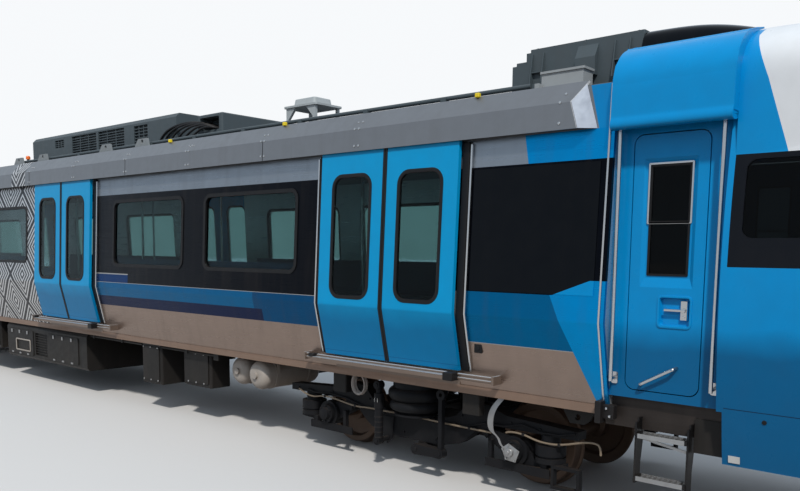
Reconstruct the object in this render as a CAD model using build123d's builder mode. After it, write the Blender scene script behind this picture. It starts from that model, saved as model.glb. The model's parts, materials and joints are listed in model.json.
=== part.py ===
"""Metro driving trailer car: stainless saloon body, moulded cab, sliding doors, two bogies.

Millimetres. +X runs forward to the cab, +Y to the left-hand side, +Z up.
The origin is under the middle of the car, at the lowest point of the wheel flanges.
"""
from build123d import *
import os

os.makedirs("parts", exist_ok=True)

# Wheels and rail level
FLANGE = 28.0
WHEEL_RADIUS = 390.0
RAIL = FLANGE
AXLE_Z = RAIL + WHEEL_RADIUS
BACK_TO_BACK = 998.0

# Stations along the car
COUPLER_FACE = 11300.0
BODY_REAR = -10900.0
BODY_FRONT = 7846.0
CAB_JOINT = 8790.0
DOOR_PITCH = 6390.0
DOOR_X = [5650.0 - DOOR_PITCH * i for i in range(3)]
PIVOT_X = {"front": 5700.0, "rear": -7900.0}
WHEELBASE = 2400.0
END_PLATE = 50.0

# Heights of the body side
SOLE_BOTTOM = RAIL + 892.0
SOLE_TOP = RAIL + 963.0
FLOOR_UNDERSIDE = RAIL + 1065.0
FLOOR = RAIL + 1115.0
WAIST = RAIL + 1620.0
DOOR_HEAD = RAIL + 3098.0
HOOD_FOLD = RAIL + 3303.0
CANTRAIL_TOP = RAIL + 3425.0
HOOD_TOP = RAIL + 3469.0
ROOF_CROWN = RAIL + 3600.0
CEILING = RAIL + 3240.0

# Body cross-section
WAIST_HALF = 1400.0
UPPER_LEAN = 0.048
LOWER_LEAN = 0.225
WALL = 55.0
FLOOR_HALF = 1190.0
SOLE_HALF = 1262.0
WAIST_BEND = 60.0

# Side windows, centres measured from the doorway ahead of them
WINDOW_WIDTH = 1675.0
WINDOW_HEIGHT = 895.0
WINDOW_Z = RAIL + 2352.0
WINDOW_CORNER = 120.0
WINDOW_OFFSETS = [-2113.0, -4204.0]
RUBBER = 42.0
RUBBER_PROUD = 8.0
PANE = 10.0

# Sliding doors
DOORWAY_WIDTH = 1600.0
LEAF_WIDTH = 848.0
LEAF_GAP = 8.0
LEAF_INNER = 38.0
LEAF_OUTER = 76.0
LEAF_BOTTOM = RAIL + 1108.0
LEAF_TOP = RAIL + 3185.0
LEAF_WINDOW = (530.0, 1200.0, 130.0)
LEAF_WINDOW_Z = RAIL + 2290.0

# Cab mask and the recessed cab doorway behind it
CAB_WALL = 45.0
CAB_SEAM = RAIL + 1086.0
SKIRT_BOTTOM = RAIL + 670.0
SKIRT_RAKE = 0.14
CAB_ROOF = RAIL + 3700.0
PORTAL_FACE = 1250.0
PORTAL_INNER = 1200.0
PORTAL_BOTTOM = RAIL + 1056.0
PORTAL_HEAD = RAIL + 3115.0
CAB_DOOR_X = 8306.0
CAB_DOOR = (560.0, 1900.0, 70.0)
CAB_DOOR_Z = RAIL + 2075.0
CAB_DOOR_THICK = 44.0
CAB_DOOR_CLEARANCE = 8.0


def half_width(height, stand_off=0.0):
    """Half width of the body side at a height, moved outward by the stand-off."""
    if height >= WAIST:
        return WAIST_HALF - UPPER_LEAN * (height - WAIST) + stand_off
    return WAIST_HALF - LOWER_LEAN * (WAIST - height) + stand_off


def side_band(low, high, inner, outer):
    """Outline of a strip that follows the right-hand body side, as (y, z) points."""
    levels = [low, WAIST, high] if low < WAIST < high else [low, high]
    out = [(-half_width(level, outer), level) for level in levels]
    back = [(-half_width(level, inner), level) for level in reversed(levels)]
    return out + back


def save(node, solid):
    """Label a finished piece with its node name and write it."""
    solid.label = node
    export_step(solid, f"parts/{node}.step")


def save_pair(node, right):
    """Write a right-hand piece and its mirror image on the left."""
    save(f"{node}_right", right)
    save(f"{node}_left", right.mirror(Plane.XZ))


# Underframe: floor plate, sole bars and cross bearers
BEARER_PITCH = 1450.0
BEARER_WIDTH = 110.0
SOLE_INNER = 1110.0
UNDERFRAME_FRONT = 10100.0
BEAM_WIDTH = 80.0
BEAM_BOTTOM = RAIL + 810.0
BEAM_Y = 1150.0

with BuildPart() as underframe:
    with BuildSketch(Plane.YZ.offset(BODY_REAR + END_PLATE)):
        with Locations((0, (FLOOR_UNDERSIDE + FLOOR) / 2)):
            Rectangle(2 * FLOOR_HALF, FLOOR - FLOOR_UNDERSIDE)
    extrude(amount=UNDERFRAME_FRONT - BODY_REAR - END_PLATE)
    with BuildSketch(Plane.YZ.offset(BODY_REAR + END_PLATE)):
        for side in (-1, 1):
            with BuildLine():
                Polyline(
                    (side * SOLE_INNER, SOLE_BOTTOM), (side * SOLE_HALF, SOLE_BOTTOM),
                    (side * SOLE_HALF, SOLE_TOP), (side * FLOOR_HALF, SOLE_TOP),
                    (side * FLOOR_HALF, FLOOR_UNDERSIDE), (side * SOLE_INNER, FLOOR_UNDERSIDE),
                    close=True)
            make_face()
    extrude(amount=BODY_FRONT - BODY_REAR - END_PLATE)
    with BuildSketch(Plane.YZ.offset(BODY_FRONT)):
        with Locations(*[(side * BEAM_Y, (BEAM_BOTTOM + FLOOR_UNDERSIDE) / 2) for side in (-1, 1)]):
            Rectangle(BEAM_WIDTH, FLOOR_UNDERSIDE - BEAM_BOTTOM)
    extrude(amount=UNDERFRAME_FRONT - BODY_FRONT)
    bearers = int((BODY_FRONT - BODY_REAR - 300) // BEARER_PITCH) + 1
    with BuildSketch(Plane.XY.offset(SOLE_BOTTOM + 12)):
        with Locations(*[(BODY_REAR + 200 + BEARER_PITCH * i, 0) for i in range(bearers)]):
            Rectangle(BEARER_WIDTH, 2 * SOLE_INNER)
    extrude(amount=FLOOR_UNDERSIDE - SOLE_BOTTOM - 12)
save("underframe", underframe.part)

# Side wall panels between the doorways, with the window holes
WINDOW_X = [door + offset for door in DOOR_X for offset in WINDOW_OFFSETS
            if door + offset > BODY_REAR + WINDOW_WIDTH / 2]

with BuildPart() as side_wall:
    with BuildSketch(Plane.YZ.offset(BODY_REAR + END_PLATE)):
        with BuildLine():
            Polyline(*side_band(SOLE_TOP, DOOR_HEAD, -WALL, 0), close=True)
        make_face()
    extrude(amount=BODY_FRONT - BODY_REAR - END_PLATE)
    fillet(side_wall.edges().filter_by(Axis.X).sort_by(Axis.Y)[0], WAIST_BEND)
    with BuildSketch(Plane.XZ.offset(1000)):
        with Locations(*[(x, (SOLE_TOP + DOOR_HEAD) / 2) for x in DOOR_X]):
            Rectangle(DOORWAY_WIDTH, 4000)
        with Locations(*[(x, WINDOW_Z) for x in WINDOW_X]):
            RectangleRounded(WINDOW_WIDTH, WINDOW_HEIGHT, WINDOW_CORNER)
    extrude(amount=600, mode=Mode.SUBTRACT)
    mirror(about=Plane.XZ)
save("side_walls", side_wall.part)

# Window rubbers: a rounded ring that stands proud of the wall and follows its lean
with BuildPart() as window_rubbers:
    with BuildSketch(Plane.YZ.offset(min(WINDOW_X) - WINDOW_WIDTH)):
        with BuildLine():
            Polyline(*side_band(WINDOW_Z - WINDOW_HEIGHT, WINDOW_Z + WINDOW_HEIGHT, -WALL + 10,
                                RUBBER_PROUD), close=True)
        make_face()
    extrude(amount=max(WINDOW_X) - min(WINDOW_X) + 2 * WINDOW_WIDTH)
    with BuildSketch(Plane.XZ.offset(1000)):
        with Locations(*[(x, WINDOW_Z) for x in WINDOW_X]):
            RectangleRounded(WINDOW_WIDTH, WINDOW_HEIGHT, WINDOW_CORNER)
            RectangleRounded(WINDOW_WIDTH - 2 * RUBBER, WINDOW_HEIGHT - 2 * RUBBER,
                             WINDOW_CORNER - RUBBER, mode=Mode.SUBTRACT)
    extrude(amount=600, mode=Mode.INTERSECT)
    mirror(about=Plane.XZ)
save("window_rubbers", window_rubbers.part)

# Window panes inside the rubbers
PANE_INSET = -28.0

with BuildPart() as window_panes:
    with BuildSketch(Plane.YZ.offset(min(WINDOW_X) - WINDOW_WIDTH)):
        with BuildLine():
            Polyline(*side_band(WINDOW_Z - WINDOW_HEIGHT, WINDOW_Z + WINDOW_HEIGHT,
                                PANE_INSET, PANE_INSET + PANE), close=True)
        make_face()
    extrude(amount=max(WINDOW_X) - min(WINDOW_X) + 2 * WINDOW_WIDTH)
    with BuildSketch(Plane.XZ.offset(1000)):
        with Locations(*[(x, WINDOW_Z) for x in WINDOW_X]):
            RectangleRounded(WINDOW_WIDTH - 2 * RUBBER, WINDOW_HEIGHT - 2 * RUBBER, WINDOW_CORNER - RUBBER)
    extrude(amount=600, mode=Mode.INTERSECT)
    mirror(about=Plane.XZ)
save("window_panes", window_panes.part)

# Black glazed panel on each side wall between the front doorway and the cab
END_PANEL = (DOOR_X[0] + 975.0, DOOR_X[0] + 2150.0, RAIL + 1828.0, RAIL + 2850.0)
END_PANEL_THICK = 5.0

with BuildPart() as end_panels:
    rear_x, front_x, low_z, high_z = END_PANEL
    with BuildSketch(Plane.YZ.offset(rear_x)):
        with BuildLine():
            Polyline(*side_band(low_z, high_z, 0, END_PANEL_THICK), close=True)
        make_face()
    extrude(amount=front_x - rear_x)
    mirror(about=Plane.XZ)
save("end_panels", end_panels.part)

# Cantrail: beam over the doorways with the folded hood that covers the door gear
HOOD_FRONT = DOOR_X[0] + 2093.0
HOOD_END_SLOPE = (1.0, -1.158, 0.37)
HOOD_OUT = 100.0
HOOD_LIP = 6.0
HOOD_SOFFIT = RAIL + 3200.0
HOOD_TOP_Y = 1290.0

with BuildPart() as cantrail:
    with BuildSketch(Plane.YZ.offset(BODY_REAR + END_PLATE)):
        with BuildLine():
            Polyline(
                (-half_width(DOOR_HEAD, HOOD_OUT), DOOR_HEAD),
                (-half_width(HOOD_FOLD, HOOD_OUT), HOOD_FOLD),
                (-HOOD_TOP_Y, HOOD_TOP), (-HOOD_TOP_Y, HOOD_TOP - 14),
                (-half_width(CANTRAIL_TOP, 0), CANTRAIL_TOP),
                (-half_width(HOOD_SOFFIT, 0), HOOD_SOFFIT),
                (-half_width(HOOD_SOFFIT, HOOD_OUT - HOOD_LIP), HOOD_SOFFIT),
                (-half_width(DOOR_HEAD, HOOD_OUT - HOOD_LIP), DOOR_HEAD), close=True)
        make_face()
    extrude(amount=HOOD_FRONT - BODY_REAR - END_PLATE)
    hood_end = Plane(origin=(HOOD_FRONT, -half_width(DOOR_HEAD), DOOR_HEAD), z_dir=HOOD_END_SLOPE)
    split(bisect_by=hood_end, keep=Keep.BOTTOM)
    with BuildSketch(Plane.YZ.offset(BODY_REAR + END_PLATE)):
        with BuildLine():
            Polyline(*side_band(DOOR_HEAD, CANTRAIL_TOP, -WALL, 0), close=True)
        make_face()
    extrude(amount=BODY_FRONT - BODY_REAR - END_PLATE)
    mirror(about=Plane.XZ)
save("cantrails", cantrail.part)

# Roof sheet, a shallow arch between the cantrails
ROOF_SHEET = 40.0
ROOF_HALF = half_width(CANTRAIL_TOP)

with BuildPart() as roof_shell:
    with BuildSketch(Plane.YZ.offset(BODY_REAR + END_PLATE)):
        with BuildLine():
            ThreePointArc((-ROOF_HALF, CANTRAIL_TOP), (0, ROOF_CROWN), (ROOF_HALF, CANTRAIL_TOP))
            Line((ROOF_HALF, CANTRAIL_TOP), (ROOF_HALF - WALL, CANTRAIL_TOP))
            ThreePointArc((ROOF_HALF - WALL, CANTRAIL_TOP), (0, ROOF_CROWN - ROOF_SHEET),
                          (WALL - ROOF_HALF, CANTRAIL_TOP))
            Line((WALL - ROOF_HALF, CANTRAIL_TOP), (-ROOF_HALF, CANTRAIL_TOP))
        make_face()
    extrude(amount=BODY_FRONT - BODY_REAR - END_PLATE)
save("roof_shell", roof_shell.part)

# Saloon ceiling with a raised centre strip for the lamps
CEILING_HALF = 1180.0
CEILING_SHEET = 30.0
LAMP_STRIP = (500.0, 24.0)

with BuildPart() as saloon_ceiling:
    with BuildSketch(Plane.YZ.offset(BODY_REAR + END_PLATE)):
        with Locations((0, CEILING + CEILING_SHEET / 2)):
            Rectangle(2 * CEILING_HALF, CEILING_SHEET)
        for side in (-1, 1):
            with Locations((side * LAMP_STRIP[0], CEILING - LAMP_STRIP[1] / 2)):
                Rectangle(140, LAMP_STRIP[1])
            with BuildLine():
                Polyline((side * CEILING_HALF, CEILING), (side * (half_width(CEILING + 30) - WALL), CEILING),
                         (side * (half_width(CEILING + 30) - WALL), CEILING + CEILING_SHEET),
                         (side * CEILING_HALF, CEILING + CEILING_SHEET), close=True)
            make_face()
    extrude(amount=BODY_FRONT - BODY_REAR - END_PLATE)
save("saloon_ceiling", saloon_ceiling.part)


# End plates of the saloon: the rear wall with the gangway doorway, and the cab bulkhead
def body_outline():
    """Closed outline of the whole body section, drawn inside a BuildLine block."""
    right = [(-SOLE_HALF, SOLE_BOTTOM), (-SOLE_HALF, SOLE_TOP), (-half_width(SOLE_TOP), SOLE_TOP),
             (-WAIST_HALF, WAIST), (-ROOF_HALF, CANTRAIL_TOP)]
    left = [(-y, z) for y, z in reversed(right)]
    Polyline(*right)
    ThreePointArc(right[-1], (0, ROOF_CROWN), left[0])
    Polyline(*left)
    Line(left[-1], right[0])


GANGWAY_DOORWAY = (900.0, 1950.0)
GANGWAY_OUTER = (1320.0, 2280.0)
GANGWAY_DEPTH = 330.0
GANGWAY_Z = FLOOR + 960.0

with BuildPart() as rear_end_wall:
    with BuildSketch(Plane.YZ.offset(BODY_REAR)):
        with BuildLine():
            body_outline()
        make_face()
        with Locations((0, FLOOR + GANGWAY_DOORWAY[1] / 2)):
            Rectangle(*GANGWAY_DOORWAY, mode=Mode.SUBTRACT)
    extrude(amount=END_PLATE)
save("rear_end_wall", rear_end_wall.part)

with BuildPart() as cab_bulkhead:
    with BuildSketch(Plane.YZ.offset(BODY_FRONT)):
        with BuildLine():
            body_outline()
        make_face()
        with Locations((0, (FLOOR + SOLE_BOTTOM) / 2 - 10)):
            Rectangle(2 * (BEAM_Y + BEAM_WIDTH / 2), FLOOR - SOLE_BOTTOM + 20, mode=Mode.SUBTRACT)
    extrude(amount=END_PLATE)
save("cab_bulkhead", cab_bulkhead.part)

# Gangway: corrugated rubber bellows on a mounting ring
BELLOWS_FOLDS = 6
BELLOWS_WALL = 40.0

with BuildPart() as gangway:
    pitch = GANGWAY_DEPTH / BELLOWS_FOLDS
    for fold in range(BELLOWS_FOLDS):
        for start, swell in ((0.0, 0.0), (pitch / 2, 50.0)):
            with BuildSketch(Plane.YZ.offset(BODY_REAR - GANGWAY_DEPTH + fold * pitch + start)):
                with Locations((0, GANGWAY_Z)):
                    RectangleRounded(GANGWAY_OUTER[0] - 50 + swell, GANGWAY_OUTER[1] - 50 + swell, 180)
                    RectangleRounded(GANGWAY_OUTER[0] - 2 * BELLOWS_WALL - 50 + swell,
                                     GANGWAY_OUTER[1] - 2 * BELLOWS_WALL - 50 + swell, 140,
                                     mode=Mode.SUBTRACT)
            extrude(amount=pitch / 2)
save("gangway", gangway.part)


# Cab mask: the common volume of a side profile, a plan and a cross-section
def cab_form(inset, rear, low):
    """Solid of the cab's outer surface, drawn in by an inset."""
    with BuildPart() as form:
        with BuildSketch(Plane.XZ):
            with BuildLine():
                Line((rear, low), (rear, CAB_ROOF))
                Line((rear, CAB_ROOF), (9400, CAB_ROOF))
                roof_arc = TangentArc((9400, CAB_ROOF), (10290, RAIL + 3240), tangent=(1, 0))
                screen = Line(roof_arc @ 1, (10880, RAIL + 1780))
                nose = ThreePointArc(screen @ 1, (11015, RAIL + 1420), (11050, CAB_SEAM))
                chin_x = 11050 - SKIRT_RAKE * (CAB_SEAM - low)
                Polyline(nose @ 1, (chin_x, low), (rear, low))
            make_face()
            if inset:
                offset(amount=-inset, kind=Kind.INTERSECTION)
        extrude(amount=1600, both=True)
        with BuildSketch(Plane.XY.offset(low - 400)):
            with BuildLine():
                Line((rear, 1440), (rear, -1440))
                Line((rear, -1440), (9600, -1440))
                corner = TangentArc((9600, -1440), (10850, -800), tangent=(1, 0))
                front = ThreePointArc(corner @ 1, (11080, 0), (10850, 800))
                TangentArc((9600, 1440), front @ 1, tangent=(1, 0))
                Line((9600, 1440), (rear, 1440))
            make_face()
            if inset:
                offset(amount=-inset, kind=Kind.INTERSECTION)
        extrude(amount=5000, mode=Mode.INTERSECT)
        with BuildSketch(Plane.YZ.offset(7000)):
            with BuildLine():
                side = ThreePointArc((-1263, RAIL + 677), (-1389, RAIL + 1680), (-1262, RAIL + 3300))
                shoulder = TangentArc(side @ 1, (-930, RAIL + 3630), tangent=side % 1)
                crown = ThreePointArc(shoulder @ 1, (0, CAB_ROOF), (930, RAIL + 3630))
                other = ThreePointArc((1263, RAIL + 677), (1389, RAIL + 1680), (1262, RAIL + 3300))
                TangentArc(other @ 1, crown @ 1, tangent=other % 1)
                Polyline((1263, RAIL + 677), (1240, low - 300), (-1240, low - 300), (-1263, RAIL + 677))
            make_face()
            if inset:
                offset(amount=-inset, kind=Kind.INTERSECTION)
        extrude(amount=5000, mode=Mode.INTERSECT)
    return form.part


cab_outer = cab_form(0, BODY_FRONT + END_PLATE, SKIRT_BOTTOM)
cab_inner = cab_form(CAB_WALL, BODY_FRONT - 300, SKIRT_BOTTOM - 300)

SCREEN_LOW = RAIL + 1890.0
SCREEN_HIGH = RAIL + 3090.0
CAB_WINDOW = (800.0, 524.0, 70.0)
CAB_WINDOW_AT = (9273.0, RAIL + 2528.0)
LAMP_AT = (860.0, RAIL + 1560.0)
LAMP_SIZE = (380.0, 170.0, 70.0)
SCREEN_HALF = (1040.0, 930.0)

with BuildPart() as screen_prism:
    with BuildSketch(Plane.YZ.offset(10000)):
        with BuildLine():
            low_half, high_half = SCREEN_HALF
            Polyline((-low_half, SCREEN_LOW), (low_half, SCREEN_LOW), (high_half, SCREEN_HIGH),
                     (-high_half, SCREEN_HIGH), close=True)
        make_face()
        fillet(vertices(), 110)
    extrude(amount=1400)

with BuildPart() as side_window_prism:
    with BuildSketch(Plane.XZ):
        with Locations(CAB_WINDOW_AT):
            RectangleRounded(*CAB_WINDOW)
    extrude(amount=1600, both=True)

with BuildPart() as lamp_prism:
    with BuildSketch(Plane.YZ.offset(10300)):
        with Locations(*[(side * LAMP_AT[0], LAMP_AT[1]) for side in (-1, 1)]):
            RectangleRounded(*LAMP_SIZE)
    extrude(amount=1000)

with BuildPart() as cab_shell:
    add(cab_outer)
    add(cab_inner, mode=Mode.SUBTRACT)
    split(bisect_by=Plane.YZ.offset(CAB_JOINT), keep=Keep.TOP)
    split(bisect_by=Plane.XY.offset(CAB_SEAM), keep=Keep.TOP)
    add(screen_prism.part, mode=Mode.SUBTRACT)
    add(side_window_prism.part, mode=Mode.SUBTRACT)
    add(lamp_prism.part, mode=Mode.SUBTRACT)
save("cab_shell", cab_shell.part)

COUPLER_NOTCH = (760.0, RAIL + 980.0)

with BuildPart() as cab_skirt:
    add(cab_outer)
    add(cab_inner, mode=Mode.SUBTRACT)
    split(bisect_by=Plane.YZ.offset(CAB_JOINT), keep=Keep.TOP)
    split(bisect_by=Plane.XY.offset(CAB_SEAM), keep=Keep.BOTTOM)
    with BuildSketch(Plane.YZ.offset(10000)):
        with Locations((0, COUPLER_NOTCH[1] - 500)):
            RectangleRounded(COUPLER_NOTCH[0], 1000, 120)
    extrude(amount=1400, mode=Mode.SUBTRACT)
save("cab_skirt", cab_skirt.part)

GLASS_OUT = 6.0
GLASS_IN = 18.0
glass_outer = cab_form(GLASS_OUT, BODY_FRONT, SKIRT_BOTTOM)
glass_inner = cab_form(GLASS_IN, BODY_FRONT - 300, SKIRT_BOTTOM - 300)

with BuildPart() as glazing_prisms:
    add(screen_prism.part)
    add(side_window_prism.part)

with BuildPart() as cab_glazing:
    add(glass_outer)
    add(glass_inner, mode=Mode.SUBTRACT)
    add(glazing_prisms.part, mode=Mode.INTERSECT)
save("cab_glazing", cab_glazing.part)

with BuildPart() as headlamps:
    add(glass_outer)
    add(cab_inner, mode=Mode.SUBTRACT)
    add(lamp_prism.part, mode=Mode.INTERSECT)
save("headlamps", headlamps.part)

# Recessed cab doorway: side plates with the door hole, returns, and the hood over the door
HOOD_START = CAB_JOINT - 880.0
RETURN_FRONT = 40.0

with BuildPart() as cab_portal:
    add(cab_outer)
    split(bisect_by=Plane.YZ.offset(CAB_JOINT), keep=Keep.BOTTOM)
    split(bisect_by=Plane.XY.offset(PORTAL_BOTTOM), keep=Keep.TOP)
    with BuildSketch(Plane.YZ.offset(HOOD_START)):
        for side in (-1, 1):
            with BuildLine():
                Polyline((side * 1150, PORTAL_HEAD), (side * 1425, PORTAL_HEAD),
                         (side * 1418, RAIL + 3380))
                TangentArc((side * 1418, RAIL + 3380), (side * 1130, RAIL + 3680),
                           tangent=(-side * 0.02, 1))
                Polyline((side * 1130, RAIL + 3680), (side * 900, RAIL + 3640), (side * 1150, PORTAL_HEAD))
            make_face()
    extrude(amount=CAB_JOINT - HOOD_START)
    with BuildSketch(Plane.XZ.offset(PORTAL_FACE)):
        with Locations(((BODY_FRONT + CAB_JOINT - RETURN_FRONT) / 2, (PORTAL_HEAD + PORTAL_BOTTOM) / 2)):
            Rectangle(CAB_JOINT - RETURN_FRONT - BODY_FRONT, PORTAL_HEAD - PORTAL_BOTTOM)
    extrude(amount=400, mode=Mode.SUBTRACT)
    with BuildSketch(Plane.XZ.offset(-PORTAL_FACE)):
        with Locations(((BODY_FRONT + CAB_JOINT - RETURN_FRONT) / 2, (PORTAL_HEAD + PORTAL_BOTTOM) / 2)):
            Rectangle(CAB_JOINT - RETURN_FRONT - BODY_FRONT, PORTAL_HEAD - PORTAL_BOTTOM)
    extrude(amount=-400, mode=Mode.SUBTRACT)
    with BuildSketch(Plane.YZ.offset(BODY_FRONT)):
        with Locations((0, (PORTAL_BOTTOM + RAIL + 3560) / 2 - 10)):
            Rectangle(2 * PORTAL_INNER, RAIL + 3560 - PORTAL_BOTTOM + 20)
    extrude(amount=1200, mode=Mode.SUBTRACT)
    with BuildSketch(Plane.XZ):
        with Locations((CAB_DOOR_X, CAB_DOOR_Z)):
            RectangleRounded(CAB_DOOR[0] + 2 * CAB_DOOR_CLEARANCE, CAB_DOOR[1] + 2 * CAB_DOOR_CLEARANCE,
                             CAB_DOOR[2] + CAB_DOOR_CLEARANCE)
    extrude(amount=1600, both=True, mode=Mode.SUBTRACT)
save("cab_portal", cab_portal.part)

# Cab door: slab with a bevelled window frame, a sill ledge, and a pocket for the lever
CAB_PANE = (312.0, 816.0, 12.0)
CAB_PANE_Z = RAIL + 2400.0
PANE_BEVEL = 45.0
PANE_LEDGE = 40.0
BEVEL_DEPTH = 20.0
LATCH_POCKET = (226.0, 208.0, 26.0)
LATCH_AT = (DOOR_X[0] + 2733.0, RAIL + 1730.0)
LEVER_AT = (DOOR_X[0] + 2800.0, RAIL + 1744.0)
FOOT_HANDLE = ((DOOR_X[0] + 2505.0, RAIL + 1170.0), (DOOR_X[0] + 2774.0, RAIL + 1320.0))
HANDLE_RADIUS = 9.0
HANDLE_REACH = 55.0

with BuildPart() as cab_door:
    with BuildSketch(Plane.XZ.offset(PORTAL_FACE)):
        with Locations((CAB_DOOR_X, CAB_DOOR_Z)):
            RectangleRounded(*CAB_DOOR)
        with Locations((CAB_DOOR_X, CAB_PANE_Z)):
            RectangleRounded(*CAB_PANE, mode=Mode.SUBTRACT)
    extrude(amount=-CAB_DOOR_THICK)
    with BuildSketch(Plane.XZ.offset(PORTAL_FACE)):
        with Locations((CAB_DOOR_X, CAB_PANE_Z - PANE_LEDGE / 2)):
            Rectangle(CAB_PANE[0] + 2 * PANE_BEVEL, CAB_PANE[1] + 2 * PANE_BEVEL + PANE_LEDGE)
    with BuildSketch(Plane.XZ.offset(PORTAL_FACE - BEVEL_DEPTH)):
        with Locations((CAB_DOOR_X, CAB_PANE_Z)):
            Rectangle(CAB_PANE[0] + 30, CAB_PANE[1] + 30)
    loft(mode=Mode.SUBTRACT)
    with BuildSketch(Plane.XZ.offset(PORTAL_FACE)):
        with Locations(LATCH_AT):
            RectangleRounded(*LATCH_POCKET)
    extrude(amount=-30, taper=15, mode=Mode.SUBTRACT)
    with BuildSketch(Plane.XZ.offset(PORTAL_FACE - 30)):
        with Locations(LEVER_AT):
            Rectangle(56, 146)
        with Locations((LEVER_AT[0] - 70, LEVER_AT[1])):
            SlotOverall(150, 22)
    extrude(amount=18)
    foot, head = FOOT_HANDLE
    reach_plane = -PORTAL_FACE - HANDLE_REACH
    with BuildLine() as handle_path:
        Polyline((foot[0], -PORTAL_FACE + 5, foot[1]), (foot[0] + 20, reach_plane, foot[1] + 11),
                 (head[0] - 20, reach_plane, head[1] - 11), (head[0], -PORTAL_FACE + 5, head[1]))
    with BuildSketch(Plane(origin=handle_path.line @ 0, z_dir=handle_path.line % 0)):
        Circle(HANDLE_RADIUS)
    sweep(transition=Transition.ROUND)
save_pair("cab_door", cab_door.part)

# Sliding door leaves, bent at the waist like the wall
DOOR_NAMES = ["front", "middle", "rear"]

for door_name, door_x in zip(DOOR_NAMES, DOOR_X):
    for leaf_name, direction in (("a", 1), ("b", -1)):
        leaf_x = door_x + direction * (LEAF_GAP + LEAF_WIDTH) / 2
        with BuildPart() as door_leaf:
            with BuildSketch(Plane.YZ.offset(leaf_x - LEAF_WIDTH / 2)):
                with BuildLine():
                    Polyline(*side_band(LEAF_BOTTOM, LEAF_TOP, LEAF_INNER, LEAF_OUTER), close=True)
                make_face()
            extrude(amount=LEAF_WIDTH)
            fillet(door_leaf.edges().filter_by(Axis.X).sort_by(Axis.Y)[0], WAIST_BEND)
            with BuildSketch(Plane.XZ.offset(1200)):
                with Locations((leaf_x, LEAF_WINDOW_Z)):
                    RectangleRounded(*LEAF_WINDOW)
            extrude(amount=400, mode=Mode.SUBTRACT)
        save_pair(f"door_{door_name}_{leaf_name}", door_leaf.part)

# Door sills: threshold, projecting tread, and the guide rail that the leaves run along
TREAD_SPAN = (-970.0, 800.0)
TREAD_Y = (1300.0, 1452.0)
TREAD_Z = (RAIL + 1030.0, RAIL + 1066.0)
GUIDE_SPAN = (-1157.0, 1250.0)
GUIDE_BARS = [RAIL + 1042.0, RAIL + 1076.0]
GUIDE_Y = 1366.0
GUIDE_RADIUS = 13.0
BRACKET_THICK = 24.0

with BuildPart() as door_sills:
    for door_x in DOOR_X:
        with BuildSketch(Plane.YZ.offset(door_x - DOORWAY_WIDTH / 2)):
            for side in (-1, 1):
                with BuildLine():
                    Polyline(
                        (side * FLOOR_HALF, SOLE_TOP), (side * SOLE_HALF, SOLE_TOP),
                        (side * SOLE_HALF, RAIL + 1020), (side * 1305, RAIL + 1040),
                        (side * 1305, RAIL + 1090), (side * FLOOR_HALF, FLOOR), close=True)
                make_face()
        extrude(amount=DOORWAY_WIDTH)
        with BuildSketch(Plane.XY.offset(TREAD_Z[0])):
            for side in (-1, 1):
                with Locations((door_x + sum(TREAD_SPAN) / 2, side * sum(TREAD_Y) / 2)):
                    Rectangle(TREAD_SPAN[1] - TREAD_SPAN[0], TREAD_Y[1] - TREAD_Y[0])
        extrude(amount=TREAD_Z[1] - TREAD_Z[0])
        with BuildSketch(Plane.YZ.offset(door_x + GUIDE_SPAN[0])):
            with Locations(*[(side * GUIDE_Y, z) for side in (-1, 1) for z in GUIDE_BARS]):
                Circle(GUIDE_RADIUS)
        extrude(amount=GUIDE_SPAN[1] - GUIDE_SPAN[0])
        for bracket_x in (GUIDE_SPAN[0], GUIDE_SPAN[1] - BRACKET_THICK):
            with BuildSketch(Plane.YZ.offset(door_x + bracket_x)):
                for side in (-1, 1):
                    with BuildLine():
                        Polyline((side * (half_width(RAIL + 1020) + 0.1), RAIL + 1020), (side * 1392, RAIL + 1020),
                                 (side * 1392, RAIL + 1096), (side * (half_width(RAIL + 1096) + 0.1), RAIL + 1096),
                                 close=True)
                    make_face()
            extrude(amount=BRACKET_THICK)
save("door_sills", door_sills.part)

# Roof equipment. Every piece is cut to sit on the arch of the roof
with BuildPart() as roof_envelope:
    with BuildSketch(Plane.YZ.offset(BODY_REAR - 100)):
        with BuildLine():
            ThreePointArc((-ROOF_HALF, CANTRAIL_TOP), (0, ROOF_CROWN), (ROOF_HALF, CANTRAIL_TOP))
            Polyline((ROOF_HALF, CANTRAIL_TOP), (ROOF_HALF, WAIST), (-ROOF_HALF, WAIST),
                     (-ROOF_HALF, CANTRAIL_TOP))
        make_face()
    extrude(amount=BODY_FRONT - BODY_REAR + END_PLATE + 100)

ROOF_UNIT_BASE = RAIL + 3470.0
LID = 28.0

# Rear air-conditioning unit: bevelled case with bar grilles and louvres in both sides and two fans on top
REAR_UNIT = (-2675.0, 1500.0, 920.0, RAIL + 3925.0)
CASE_BEVEL = 55.0
GRILLE_DEPTH = 45.0
GRILLES = [
    # rear x, front x, low z, high z, number of slats
    (-1340.0, -590.0, RAIL + 3560.0, RAIL + 3850.0, 7),
    (-530.0, 200.0, RAIL + 3560.0, RAIL + 3850.0, 7),
    (460.0, 810.0, RAIL + 3590.0, RAIL + 3840.0, 5),
    (-1895.0, -1605.0, RAIL + 3716.0, RAIL + 3832.0, 3),
]
SLAT = (10.0, 24.0)
FANS = [-1800.0, -700.0, 400.0]
FAN_RADIUS = 290.0

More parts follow.
